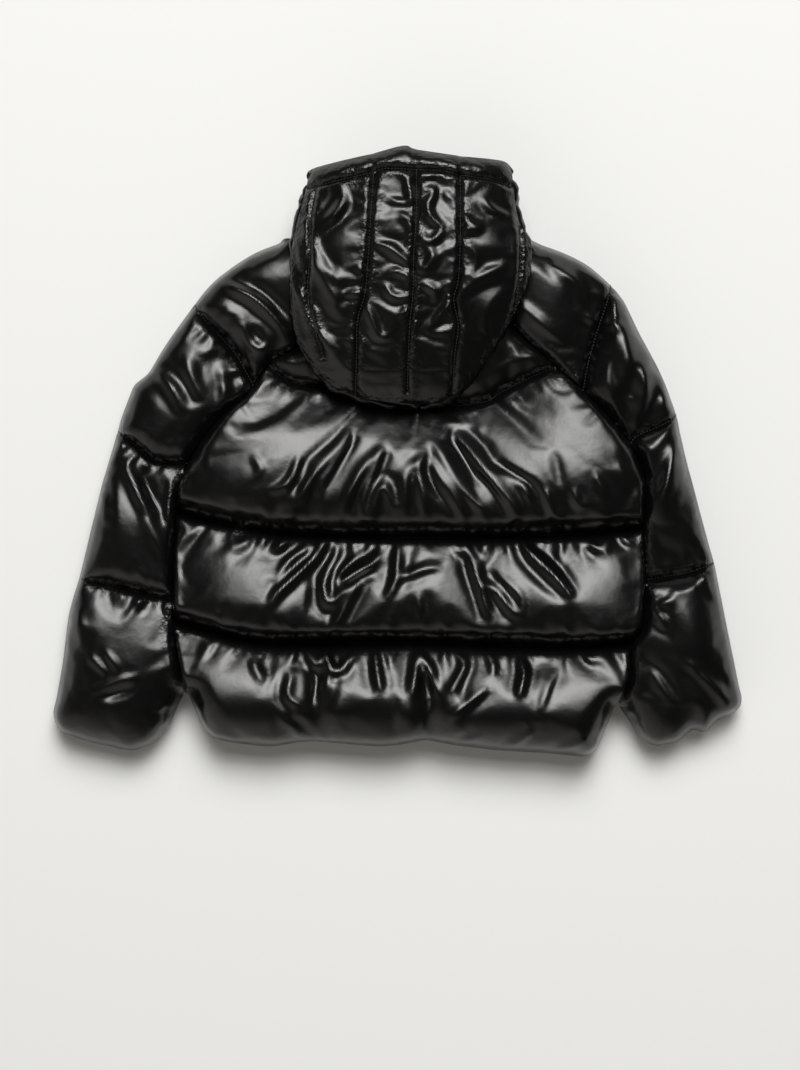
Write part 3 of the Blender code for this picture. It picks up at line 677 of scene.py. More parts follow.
class Finish:
    """A material under construction."""

    def __init__(self, name):
        self.material = bpy.data.materials.new(name)
        self.material.use_nodes = True
        self.tree = self.material.node_tree
        self.shader = self.tree.nodes["Principled BSDF"]

    def node(self, kind, options, inputs, output=0):
        return Value(self, add_node(self.tree, kind, options, inputs, output))

    def where(self, scale):
        """Object coordinates in millimetres, stretched by scale."""
        place = self.node("ShaderNodeTexCoord", {}, {}, "Object")
        size = tuple(share / MM for share in scale)
        return self.node("ShaderNodeMapping", {}, {"Vector": place, "Scale": size})

    def noise(self, size, detail, scale=(1, 1, 1), roughness=0.5):
        """Soft noise whose patches are about size millimetres across."""
        return self.node("ShaderNodeTexNoise", {"noise_type": "FBM"},
                         {"Vector": self.where(scale), "Scale": 1 / size, "Detail": detail,
                          "Roughness": roughness})

    def blend(self, share, first, second):
        """A colour between two colours."""
        return self.node("ShaderNodeMix", {"data_type": "RGBA"},
                         {"Factor": share, 6: (*first, 1), 7: (*second, 1)}, 2)

    def bump(self, height, distance, under=None):
        """A normal from a height of 0 to 1, distance millimetres deep, over another normal."""
        inputs = {"Height": height, "Distance": distance * MM}
        if under is not None:
            inputs["Normal"] = under
        return self.node("ShaderNodeBump", {}, inputs)

    def set(self, **inputs):
        for key, value in inputs.items():
            feed(self.tree, self.shader.inputs[key.replace("_", " ")], value)


def shell_finish():
    """Coated nylon with a wet look: almost black, glossy, with a fine weave and soft crinkles."""
    name = "coated_nylon"
    if name in bpy.data.materials:
        return bpy.data.materials[name]
    finish = Finish(name)
    colour = np.array(settings().shell_colour)
    wear = finish.noise(38, 4)
    weave = (finish.noise(0.8, 1, (1, 0.25, 1)) + finish.noise(0.8, 1, (0.25, 1, 1))) * 0.5
    crinkle = finish.noise(7, 5, roughness=0.6)
    soft = finish.noise(16, 2)
    haze = finish.noise(3.2, 2)
    seam = finish.node("ShaderNodeAttribute", {"attribute_name": "seam"}, {}, "Fac")
    pucker = finish.noise(4.2, 1.5) * seam
    fine = finish.bump(weave, 0.03)
    small = finish.bump(crinkle, 0.1, finish.bump(pucker, 1.3, fine))
    finish.set(
        Base_Color=finish.blend(wear, colour * 0.85, colour * 1.35),
        Roughness=settings().shell_roughness + (wear - 0.5) * 0.1 + (haze - 0.5) * 0.05,
        Normal=finish.bump(soft, 0.3, small),
        IOR=1.46,
    )
    return finish.material


def mottled(name, spots, colours, roughness, depth, scale=(1, 1, 1), metallic=None):
    """A finish whose colour, roughness and bump all follow one noise.

    Roughness and metallic are each a least value and what the noise adds to it.
    """
    finish = Finish(name)
    pattern = finish.noise(*spots, scale)
    finish.set(Base_Color=finish.blend(pattern, *colours),
               Roughness=roughness[0] + pattern * roughness[1],
               Normal=finish.bump(pattern, depth))
    if metallic:
        finish.set(Metallic=metallic[0] + pattern * metallic[1])
    return finish.material


def thread_finish():
    """Black polyester thread, matt and slightly fuzzy."""
    name = "sewing_thread"
    if name in bpy.data.materials:
        return bpy.data.materials[name]
    colours = (0.012, 0.012, 0.012), (0.03, 0.03, 0.03)
    return mottled(name, (0.4, 1), colours, (0.55, 0.2), 0.05)


def tape_finish():
    """Woven zip tape with a herringbone bump."""
    colours = (0.01, 0.01, 0.011), (0.026, 0.026, 0.027)
    return mottled("woven_tape", (0.6, 2), colours, (0.72, 0.2), 0.12, scale=(1, 0.3, 1))


def plastic_finish():
    """Moulded black plastic with faint flow marks."""
    colours = (0.014, 0.014, 0.015), (0.024, 0.024, 0.025)
    return mottled("moulded_plastic", (2.5, 3), colours, (0.3, 0.12), 0.04)


def metal_finish():
    """Black enamel on cast zinc, rubbed a little."""
    colours = (0.02, 0.02, 0.021), (0.05, 0.05, 0.05)
    return mottled("enamelled_zinc", (1.6, 4), colours, (0.26, 0.2), 0.03, metallic=(0.75, 0.2))


# What repeats: stitches and zip teeth.

def node_group(name, floats, build):
    """A geometry node group with named inputs in metres, a seed and a material."""
    group = bpy.data.node_groups.new(name, "GeometryNodeTree")
    group.interface.new_socket("Geometry", in_out="INPUT", socket_type="NodeSocketGeometry")
    for label, value in floats.items():
        socket = group.interface.new_socket(label, in_out="INPUT", socket_type="NodeSocketFloat")
        socket.default_value = value
    seed = group.interface.new_socket("Seed", in_out="INPUT", socket_type="NodeSocketInt")
    seed.default_value = 7
    group.interface.new_socket("Material", in_out="INPUT", socket_type="NodeSocketMaterial")
    group.interface.new_socket("Geometry", in_out="OUTPUT", socket_type="NodeSocketGeometry")
    start = group.nodes.new("NodeGroupInput")
    end = group.nodes.new("NodeGroupOutput")
    node = partial(add_node, group)
    instances = build(start.outputs, node)
    solid = node("GeometryNodeRealizeInstances", {}, {"Geometry": instances})
    finished = node("GeometryNodeSetMaterial", {},
                    {"Geometry": solid, "Material": start.outputs["Material"]})
    group.links.new(finished, end.inputs["Geometry"])
    return group


def grow(name, group, lines, values, material):
    """Run a node group over lines of points in millimetres; returns a plain mesh object."""
    spots, edges = [], []
    for line in lines:
        edges += [(k, k + 1) for k in range(len(spots), len(spots) + len(line) - 1)]
        spots += [tuple(np.array(p) * MM) for p in line]
    mesh = bpy.data.meshes.new(name)
    mesh.from_pydata(spots, edges, [])
    piece = new_object(name, mesh)
    step = piece.modifiers.new("grow", "NODES")
    step.node_group = group
    named = {item.name: item.identifier for item in group.interface.items_tree
             if item.in_out == "INPUT"}
    for label, value in {**values, "Material": material}.items():
        step[named[label]] = value
    if not settle(piece).polygons:
        raise RuntimeError("%s came out empty" % name)
    return piece


def build_stitches(inputs, node):
    """Short lengths of thread laid end to end along each line."""
    curve = node("GeometryNodeMeshToCurve", {}, {"Mesh": inputs["Geometry"]})
    even = node("GeometryNodeResampleCurve", {"mode": "LENGTH"},
                {"Curve": curve, "Length": inputs["Pitch"]})
    ahead = node("GeometryNodeInputTangent", {}, {})
    turn = node("FunctionNodeAlignRotationToVector", {"axis": "X"}, {"Vector": ahead})
    long = node("ShaderNodeMath", {"operation": "MULTIPLY"}, {0: inputs["Pitch"], 1: STITCH_SHARE})
    uneven = node("FunctionNodeRandomValue", {"data_type": "FLOAT"},
                  {2: STITCH_UNEVEN[0], 3: STITCH_UNEVEN[1], "Seed": inputs["Seed"]}, 1)
    long = node("ShaderNodeMath", {"operation": "MULTIPLY"}, {0: long, 1: uneven})
    size = node("ShaderNodeCombineXYZ", {}, {0: long, 1: inputs["Thread"], 2: inputs["Thread"]})
    bead = node("GeometryNodeMeshUVSphere", {}, {"Segments": 6, "Rings": 4, "Radius": 1.0})
    return node("GeometryNodeInstanceOnPoints", {},
                {"Points": even, "Instance": bead, "Rotation": turn, "Scale": size})


def build_teeth(inputs, node):
    """Moulded teeth along each line, one for each pitch."""
    curve = node("GeometryNodeMeshToCurve", {}, {"Mesh": inputs["Geometry"]})
    even = node("GeometryNodeResampleCurve", {"mode": "LENGTH"},
                {"Curve": curve, "Length": inputs["Pitch"]})
    tall = node("ShaderNodeMath", {"operation": "MULTIPLY"}, {0: inputs["Pitch"], 1: TOOTH_HEIGHT})
    size = node("ShaderNodeCombineXYZ", {}, {0: inputs["Width"], 1: tall, 2: inputs["Depth"]})
    block = node("GeometryNodeMeshCube", {}, {"Size": size})
    return node("GeometryNodeInstanceOnPoints", {}, {"Points": even, "Instance": block})


def sew(name, points, lines):
    """Stitches along the quilting lines of a filled cloth, a thread's thickness above it."""
    group = bpy.data.node_groups.get("stitches") or node_group(
        "stitches", {"Pitch": 0.0032, "Thread": 0.0005}, build_stitches)
    rows = []
    for line in lines:
        gap, _, reached = along(points[:, :2], line)
        near = np.nonzero(gap < SEWN)[0]
        row = points[near[np.argsort(reached[near])]]
        rows.append(row + np.array([0, 0, STITCH_LIFT]))
    piece = grow(name, group, rows, {"Pitch": settings().stitch_pitch,
                                     "Thread": settings().thread}, thread_finish())
    place_piece(piece, "shell_nylon")


# The padded panels.

BACK_FOLDS = [
    # the first band: a fan that runs down from under the hood
    fold(4.0, 5.9, (-110, -69), (-89, -35), (-79, -20), (-46, 19)),
    fold(3.5, 4.5, (-78, -46), (-74, -31), (-66, -20), (-47, 8)),
    fold(3.5, 5.2, (-54, -64), (-50, -48), (-33, -18), (-14, 3)),
    fold(3.0, 5.2, (-34, -71), (-34, -48), (-26, -27), (-13, 1)),
    fold(3.5, 4.5, (-34, -71), (-26, -63), (-20, -42), (-14, -36), (-8, -44), (-4, -58)),
    fold(4.0, 3.9, (-4, -58), (6, -52), (10, -22), (22, -8)),
    fold(3.0, 3.9, (-126, -41), (-109, -33), (-101, -22), (-97, -5)),
    fold(3.0, 3.2, (-109, -34), (-106, -42), (-116, -59)),
    fold(3.0, 2.6, (-142, -4), (-134, -16), (-137, -26)),
    fold(4.5, 6.5, (120, -69), (114, -53), (96, -30), (71, 3), (58, 19)),
    fold(3.5, 5.2, (68, -66), (55, -45), (45, -30), (32, -10)),
    fold(3.5, 4.5, (86, -58), (72, -48), (58, -30), (34, 11)),
    fold(3.5, 4.5, (27, -65), (21, -22), (26, -3)),
    fold(3.0, -3.2, (98, -10), (133, -35), (141, -58)),
    fold(2.5, 3.2, (123, -30), (130, -50)),
    fold(3.0, 3.9, (146, -36), (152, -58), (160, -69)),
    fold(4.0, -2.6, (155, 2), (162, -46)),
    fold(3.0, 3.9, (171, -36), (178, -51), (186, -54)),
    fold(3.0, 2.6, (193, -20), (205, -46)),
    fold(3.0, 2.6, (218, -8), (226, -40)),
    fold(38.0, 6.0, (-200, -24), (-100, -42), (0, -48), (100, -44), (222, -30)),
    # the sides, which fall away from the filling
    fold(32.0, -9.0, (-222, 30), (-226, -100), (-218, -250)),
    fold(20.0, -5.0, (247, 10), (248, -120), (228, -250)),
    # the second band: folds that run outwards from the line above
    fold(3.0, 3.9, (-104, -84), (-119, -93), (-127, -100)),
    fold(3.5, 4.5, (-67, -84), (-101, -103), (-122, -128)),
    fold(3.5, 5.9, (-67, -87), (-92, -114), (-116, -137), (-127, -154)),
    fold(3.5, 5.2, (-60, -100), (-71, -125), (-72, -137), (-66, -149), (-42, -127), (-20, -119)),
    fold(4.5, -4.5, (-16, -100), (-40, -122), (-58, -130)),
    fold(3.5, 5.2, (-36, -127), (-55, -157), (-65, -178)),
    fold(3.0, 3.2, (-30, -98), (-52, -116), (-61, -135)),
    fold(3.5, 4.5, (1, -90), (-2, -127), (-10, -147)),
    fold(3.0, 3.2, (-1, -127), (22, -118), (44, -114)),
    fold(4.0, 5.9, (68, -90), (82, -132), (90, -162)),
    fold(3.5, 4.5, (82, -132), (95, -135), (120, -165)),
    fold(3.0, 3.9, (97, -121), (114, -135), (122, -146), (123, -165)),
    fold(4.0, 5.9, (122, -84), (130, -99), (159, -130), (171, -146)),
    fold(3.0, 3.9, (130, -94), (146, -108), (163, -130), (174, -144)),
    fold(3.0, 3.9, (187, -88), (201, -97)),
    fold(2.5, 3.2, (222, -80), (232, -92)),
    fold(3.0, 3.9, (-163, -74), (-146, -70)),
    fold(4.5, 2.6, (-166, -96), (-146, -86)),
    fold(3.0, 2.6, (20, -140), (22, -165)),
    # the third band: short folds that hang from the line above, and the gathers of the hem
    fold(3.0, 4.5, (-90, -194), (-80, -211), (-72, -199), (-60, -216), (-38, -194)),
    fold(3.5, 4.5, (-70, -204), (-70, -226), (-79, -253)),
    fold(7.0, -6.5, (-82, -212), (-78, -240), (-79, -272)),
    fold(3.5, 5.2, (-22, -194), (-21, -210), (-16, -237)),
    fold(3.5, 5.2, (20, -194), (15, -243)),
    fold(3.0, 3.9, (-104, -213), (-108, -240), (-94, -249)),
    fold(3.0, 3.2, (-140, -203), (-141, -210), (-132, -228)),
    fold(3.0, 3.9, (-116, -262), (-102, -273), (-88, -288)),
    fold(3.0, 4.5, (22, -196), (33, -217), (39, -240)),
    fold(8.0, -7.8, (32, -219), (31, -288)),
    fold(3.0, 4.5, (56, -194), (66, -210), (52, -237)),
    fold(3.5, 5.9, (120, -203), (125, -218), (119, -242)),
    fold(3.0, 3.9, (91, -232), (71, -245), (52, -262)),
    fold(2.5, 2.6, (157, -213), (139, -256)),
    fold(3.0, 3.2, (83, -280), (58, -293)),
    fold(3.0, 3.9, (133, -275), (106, -297)),
    fold(3.0, 3.9, (186, -283), (155, -299)),
    fold(3.0, 3.2, (-200, -271), (-168, -292)),
    fold(3.0, 3.2, (-181, -276), (-150, -293)),
    fold(3.0, 3.9, (187, -197), (193, -207)),
    fold(3.0, 3.2, (98, -194), (94, -222)),
]


def panel_parts(node, neighbours):
    """A panel's smooth outline, with what each of its points meets: a seam, a side, neck or air."""
    ring = smooth_outline(rim_of(node), OUTLINE_STEP)
    meets = np.full(len(ring), "free", object)
    for other in neighbours:
        beside = closed(smooth_outline(rim_of(other), OUTLINE_STEP))
        shared = along(ring, beside)[0] < MEETING_GAP
        low = ARMPITS["left" if "left" in node + other else "right"]
        meets[shared & (ring[:, 1] > low)] = "seam"
        meets[shared & (ring[:, 1] <= low)] = "side"
    under_hood = (ring[:, 1] > NECK_FROM) & (np.abs(ring[:, 0] - NECK_MIDDLE) < NECK_HALF)
    meets[under_hood & (meets == "free")] = "neck"
    return ring, meets


def runs(ring, meets, kind):
    """The stretches of an outline that meet one kind of thing."""
    chosen = meets == kind
    if not chosen.any():
        return []
    if chosen.all():
        return [closed(ring)]
    start = int(np.nonzero(~chosen)[0][0])
    order = [(start + k) % len(ring) for k in range(len(ring))]
    stretches, current = [], []
    for k in order:
        if chosen[k]:
            current.append(ring[k])
        elif current:
            stretches.append(np.array(current))
            current = []
    if current:
        stretches.append(np.array(current))
    return [stretch for stretch in stretches if len(stretch) > 2]


# How far the filling takes to rise on each side of a line, above it and below it.
BACK_REACHES = [(22, 118), (17, 94), (16, 70)]
SLEEVE_REACHES = [(22, 60), (18, 80), (18, 70)]
LOWER_REACHES = [(18, 18)] * 3
# The height of each kind of edge, and how far the filling takes to rise from it.
UPPER_EDGES = {"seam": (SEAM_LEVEL, 22), "side": (SIDE_LEVEL, 8), "free": (FREE_LEVEL, 36),
               "neck": (NECK_LEVEL, 20)}
LOWER_EDGES = {"free": (-15.5, 22), "side": (-15.5, 22), "seam": (-8, 16)}  # upside down
LOWER_QUILT = -8
LOWER_LIMIT = 0.5  # puckers of the resting cloth are pressed flat past this


def padded_cloth(node, neighbours, quilting, step, insets):
    """A panel's outline and what it meets, its lines of quilting, and its cloth's points and faces."""
    ring, meets = panel_parts(node, neighbours)
    loop, kept = inset(ring, np.array([insets[kind] for kind in meets]))
    lines = [smooth(line, step) for line in quilting]
    return loop, meets[kept], lines, *fill(loop, lines, step)


def shoulders(loop, meets, lines, level, reaches, shape, outer):
    """Every line and edge that draws a panel's cloth down."""
    edges = [Edge(line, level, *reach, shape) for line, reach in zip(lines, reaches)]
    for kind, (height, reach) in outer.items():
        edges += [Edge(line, height, reach, reach, "round") for line in runs(loop, meets, kind)]
    return edges


def upper_panel(node, neighbours, quilting, reaches, crests, folds, seed):
    """The fine cloth of one panel of the upper layer, ready to be filled.

    The crests are the one above the panel's first line of quilting, and the one below it.
    """
    step = settings().cloth_step / MM
    loop, meets, lines, points, faces = padded_cloth(node, neighbours, quilting, step, UPPER_INSETS)
    edges = shoulders(loop, meets, lines, QUILT_LEVEL, reaches, "long", UPPER_EDGES)
    heights = relief(points, np.where(along(points, lines[0])[1] > 0, *crests), edges)
    for number, line in enumerate(lines):
        heights += pleats(points, line, seed + number, UPPER_PLEATS)
    for kind, seam_seed in (("seam", 80), ("free", 90)):
        for number, line in enumerate(runs(loop, meets, kind)):
            heights += pleats(points, line, seed + seam_seed + number, SEAM_PLEATS)
    heights += fold_relief(points, folds)
    held = hold(points, faces, lines)
    return cloth_object(node + "_cloth", points, heights, faces, held), faces, held


def finish_panel(node, cloth, faces, held, quilting):
    """Close a filled cloth over its flat side, sew its quilting and give it its finish."""
    points = relax(spots_of(cloth.data) / MM, faces, held, 2)
    bpy.data.objects.remove(cloth)
    padded_panel(node, points, faces, level_side(UPPER_FLOOR), held, UPPER_FULL)
    rows = [smooth(line, settings().cloth_step / MM) for line in quilting]
    sew(node + "_panel_stitches", points, rows)


class JACKET_OT_back(bpy.types.Operator):
    """Make the quilted back, from the yoke down to the hem"""

    bl_idname = "jacket.back"
    bl_label = "Back"

    def execute(self, context):
        sleeves = ["sleeve_left_back", "sleeve_right_back"]
        cloth, faces, held = upper_panel("back", sleeves, BODY_ROWS, BACK_REACHES, BACK_CRESTS,
                                         BACK_FOLDS, 11)
        inflate([cloth], *UPPER_FILLING)
        finish_panel("back", cloth, faces, held, BODY_ROWS)
        return {"FINISHED"}


LEFT_SLEEVE_FOLDS = [
    # above the first line: two long sweeps off the shoulder and an eye beside the seam
    fold(4.5, 4.5, (-184, 171), (-150, 158), (-120, 132), (-108, 108)),
    fold(3.5, 3.5, (-170, 165), (-140, 150), (-116, 124)),
    fold(3.5, 3.5, (-155, 128), (-144, 108), (-126, 99)),
    fold(5.0, -3.5, (-148, 124), (-136, 106)),
    # below it: an eye near the outer edge and long soft folds
    fold(4.0, 4.0, (-210, 99), (-203, 72), (-194, 53)),
    fold(4.5, 4.0, (-242, 84), (-222, 62), (-214, 40)),
    fold(3.5, 3.0, (-176, 92), (-172, 60), (-180, 26)),
    # the forearm
    fold(4.5, 4.5, (-275, 12), (-263, -30), (-240, -84), (-230, -106)),
    fold(4.0, 3.5, (-262, -20), (-252, -44), (-240, -62)),
    fold(3.5, -3.0, (-254, -24), (-240, -58)),
    fold(3.0, 3.0, (-222, -16), (-226, -52), (-218, -84)),
    fold(3.0, 2.5, (-296, -26), (-292, -70)),
    # the cuff
    fold(3.0, 3.5, (-303, -237), (-279, -228), (-261, -222), (-254, -220)),
    fold(5.0, -3.0, (-292, -242), (-262, -232)),
    fold(2.5, 3.0, (-306, -200), (-286, -220)),
    fold(2.5, 3.0, (-289, -196), (-275, -217)),
    fold(3.0, 3.0, (-243, -257), (-220, -244)),
    fold(3.0, 2.5, (-262, -136), (-256, -148), (-246, -140)),
    fold(3.5, 3.0, (-318, -150), (-314, -196)),
]
RIGHT_SLEEVE_FOLDS = [
    # beside the raglan seam
    fold(5.0, 5.5, (246, 93), (244, 58), (236, 26)),
    fold(4.0, -3.5, (234, 90), (232, 56)),
    fold(3.5, 3.5, (150, 190), (176, 168), (186, 140)),
    fold(3.5, 3.5, (120, 150), (146, 126), (168, 108)),
    fold(3.0, 3.0, (206, 92), (214, 56), (226, 30)),
    fold(4.0, 3.5, (262, 100), (268, 66), (262, 44)),
    fold(7.0, 5.0, (224, 132), (228, 100), (236, 60)),
    # the forearm
    fold(8.0, 5.0, (284, 20), (276, -20), (258, -70)),
    fold(4.0, 4.0, (277, 13), (266, -26), (252, -66)),
    fold(3.5, 3.5, (250, 8), (248, -40), (240, -78)),
    fold(3.0, 2.5, (296, -10), (300, -60)),
    fold(3.0, 3.0, (292, -108), (306, -126), (318, -146)),
    fold(3.0, 3.0, (300, -104), (312, -118)),
    # the cuff
    fold(14.0, 5.0, (262, -146), (286, -170), (296, -214)),
    fold(3.0, 3.5, (254, -152), (266, -176)),
    fold(3.0, 3.5, (254, -152), (236, -168)),
    fold(3.0, 3.0, (254, -152), (274, -146)),
    fold(4.0, 3.5, (286, -206), (318, -236), (332, -262)),
    fold(3.5, 3.0, (250, -214), (274, -250)),
]


class JACKET_OT_sleeves(bpy.types.Operator):
    """Make the back halves of the raglan sleeves"""

    bl_idname = "jacket.sleeves"
    bl_label = "Sleeves"

    def execute(self, context):
        made = []
        for side, quilting, folds, seed in (
            ("left", LEFT_ROWS, LEFT_SLEEVE_FOLDS, 211),
            ("right", RIGHT_ROWS, RIGHT_SLEEVE_FOLDS, 317),
        ):
            node = "sleeve_%s_back" % side
            made.append((node, quilting, *upper_panel(node, ["back"], quilting, SLEEVE_REACHES,
                                                      SLEEVE_CRESTS, folds, seed)))
        inflate([cloth for _, _, cloth, _, _ in made], *UPPER_FILLING)
        for node, quilting, cloth, faces, held in made:
            finish_panel(node, cloth, faces, held, quilting)
        return {"FINISHED"}


def lower_panel(node, neighbours, quilting, seed):
    """The cloth of a panel that lies on the surface, drawn upside down so that it can be filled."""
    loop, meets, lines, points, faces = padded_cloth(
        node, neighbours, quilting, LOWER_STEP, LOWER_INSETS)
    edges = shoulders(loop, meets, lines, LOWER_QUILT, LOWER_REACHES, "round", LOWER_EDGES)
    heights = relief(points, 0.0, edges)
    for number, line in enumerate(lines):
        heights += pleats(points, line, seed + number, LOWER_PLEATS)
    heights = np.minimum(heights, LOWER_LIMIT)
    held = hold(points, faces, lines)
    return cloth_object(node + "_cloth", points, heights, faces, held), faces, held


class JACKET_OT_fronts(bpy.types.Operator):
    """Make the fronts and the front halves of the sleeves, pressed flat where they rest"""

    bl_idname = "jacket.fronts"
    bl_label = "Fronts"

    def execute(self, context):
        plans = [
            ("front_left", ["sleeve_left_front"], BODY_ROWS, 401),
            ("front_right", ["sleeve_right_front"], BODY_ROWS, 409),
            ("sleeve_left_front", ["front_left"], LEFT_ROWS, 419),
            ("sleeve_right_front", ["front_right"], RIGHT_ROWS, 431),
        ]
        made = [(node, *lower_panel(node, near, rows, seed)) for node, near, rows, seed in plans]
        inflate([cloth for _, cloth, _, _ in made], *LOWER_FILLING, pressure=3.0, slack=0.03)
        for node, cloth, faces, held in made:
            points = spots_of(cloth.data) / MM
            points[:, 2] = np.maximum(-points[:, 2], LOWEST)
            bpy.data.objects.remove(cloth)
            inner = level_side(LOWER_CEILING)
            padded_panel(node, points, faces, inner, held, LOWER_FULL, flip=True)
        return {"FINISHED"}


# The hood.

HOOD_SEED = 601
HOOD_WALL, HOOD_FLOOR = 17, 57.0  # its outer cloth's inner side follows the dome down to this
HOOD_CUT = 0.0596  # metres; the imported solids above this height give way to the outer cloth
BAND_FROM, BAND_WIDTH = 262, 24
BAND_CROSSINGS = (-25, 276), (18, 279), (63, 274)
RIM_INSET, HOOD_INSET = 1.0, 4.0
# How deep each kind of line lies in the dome, and how far from it the cloth is back up.
SEAM_VALLEY = (4, 6.5)
QUILT_VALLEY = (3, 5.5)
RIM_VALLEY = (17, 17)
BAND_VALLEY = (4, 6)
# The parts under the outer cloth: how they are smoothed, swell and fold.
UNDER_GRID = 0.0032  # metres
UNDER_ROUNDS = 16
UNDER_SWELL = 2.0
UNDER_FOLDS = 2.2


def hood_column(y, name):
    """One column of the hood's table of sections at any y."""
    stations = [row.y for row in HOOD_SECTIONS]
    return np.interp(y, stations, [getattr(row, name) for row in HOOD_SECTIONS])


def hood_dome(points):
    """The height of the hood's cloth over each point, before it is filled."""
    x, y = points[:, 0], points[:, 1]
    left, right = hood_column(y, "left"), hood_column(y, "right")
    side, crest = hood_column(y, "side"), hood_column(y, "crest")
    share = np.clip(np.abs((x - (left + right) / 2) / ((right - left) / 2)), 0, 1)
    return side + (crest - side) * np.sqrt(1 - share ** 2.6)


def hood_inside(spots):
    """The inner side of the outer cloth."""
    return np.maximum(hood_dome(spots) - HOOD_WALL, HOOD_FLOOR)


HOOD_FOLDS = [
    # the left channel of the centre panel
    fold(2.8, 3.5, (8, 272), (13, 250), (18, 244)),
    fold(2.5, 2.5, (-9, 249), (2, 244), (16, 246)),
    fold(3.0, 2.5, (2, 236), (13, 220), (15, 205)),
    fold(3.2, 4.0, (-22, 205), (-7, 198), (15, 180)),
    fold(2.8, 3.5, (-11, 172), (-2, 176), (12, 170), (11, 159)),
    fold(2.8, 3.5, (-13, 165), (-5, 152), (13, 151)),
    fold(3.2, 4.5, (-29, 141), (-19, 114), (-8, 113)),
    fold(2.5, 2.5, (2, 131), (12, 142)),
    # the right channel
    fold(2.8, 4.0, (24, 257), (35, 255), (30, 240), (35, 226), (46, 219)),
    fold(2.8, 3.5, (22, 212), (32, 205), (45, 218)),
    fold(3.0, 3.5, (24, 201), (34, 194), (30, 182), (22, 172)),
    fold(2.8, 3.5, (24, 166), (37, 156), (35, 146)),
    fold(2.5, 2.5, (39, 159), (53, 166)),
    fold(3.0, 3.0, (26, 116), (37, 127), (53, 148)),
    fold(2.8, 2.5, (31, 114), (53, 120)),
    fold(3.0, 2.0, (44, 256), (56, 244)),
    # the right side
    fold(2.8, 3.5, (63, 235), (69, 224), (78, 218), (62, 216)),
    fold(3.5, 3.0, (83, 250), (94, 237), (109, 233)),
    fold(4.0, 3.5, (107, 183), (78, 170), (59, 152)),
    fold(4.0, 2.5, (104, 160), (88, 140), (84, 116)),
    fold(3.5, 2.5, (70, 206), (76, 186), (64, 168)),
    # the left side
    fold(4.5, 3.5, (-93, 232), (-86, 196), (-70, 160), (-52, 128)),
    fold(4.0, 3.0, (-96, 160), (-84, 128), (-66, 98)),
    fold(3.5, 3.0, (-52, 258), (-60, 236), (-78, 214)),
    fold(3.5, 2.5, (-48, 250), (-66, 226)),
    fold(4.0, 3.0, (-83, 209), (-72, 183), (-56, 164)),
    fold(4.0, 2.5, (-85, 190), (-57, 146)),
    fold(2.5, 3.5, (-53, 154), (-42, 155), (-31, 154)),
    fold(2.5, 2.5, (-41, 183), (-33, 175)),
    fold(4.0, 2.5, (-57, 181), (-59, 146)),
    fold(3.5, 2.5, (-98, 214), (-94, 180)),
    fold(3.5, 2.5, (-104, 176), (-96, 140)),
    fold(4.0, 2.5, (-74, 116), (-60, 92), (-46, 80)),
]


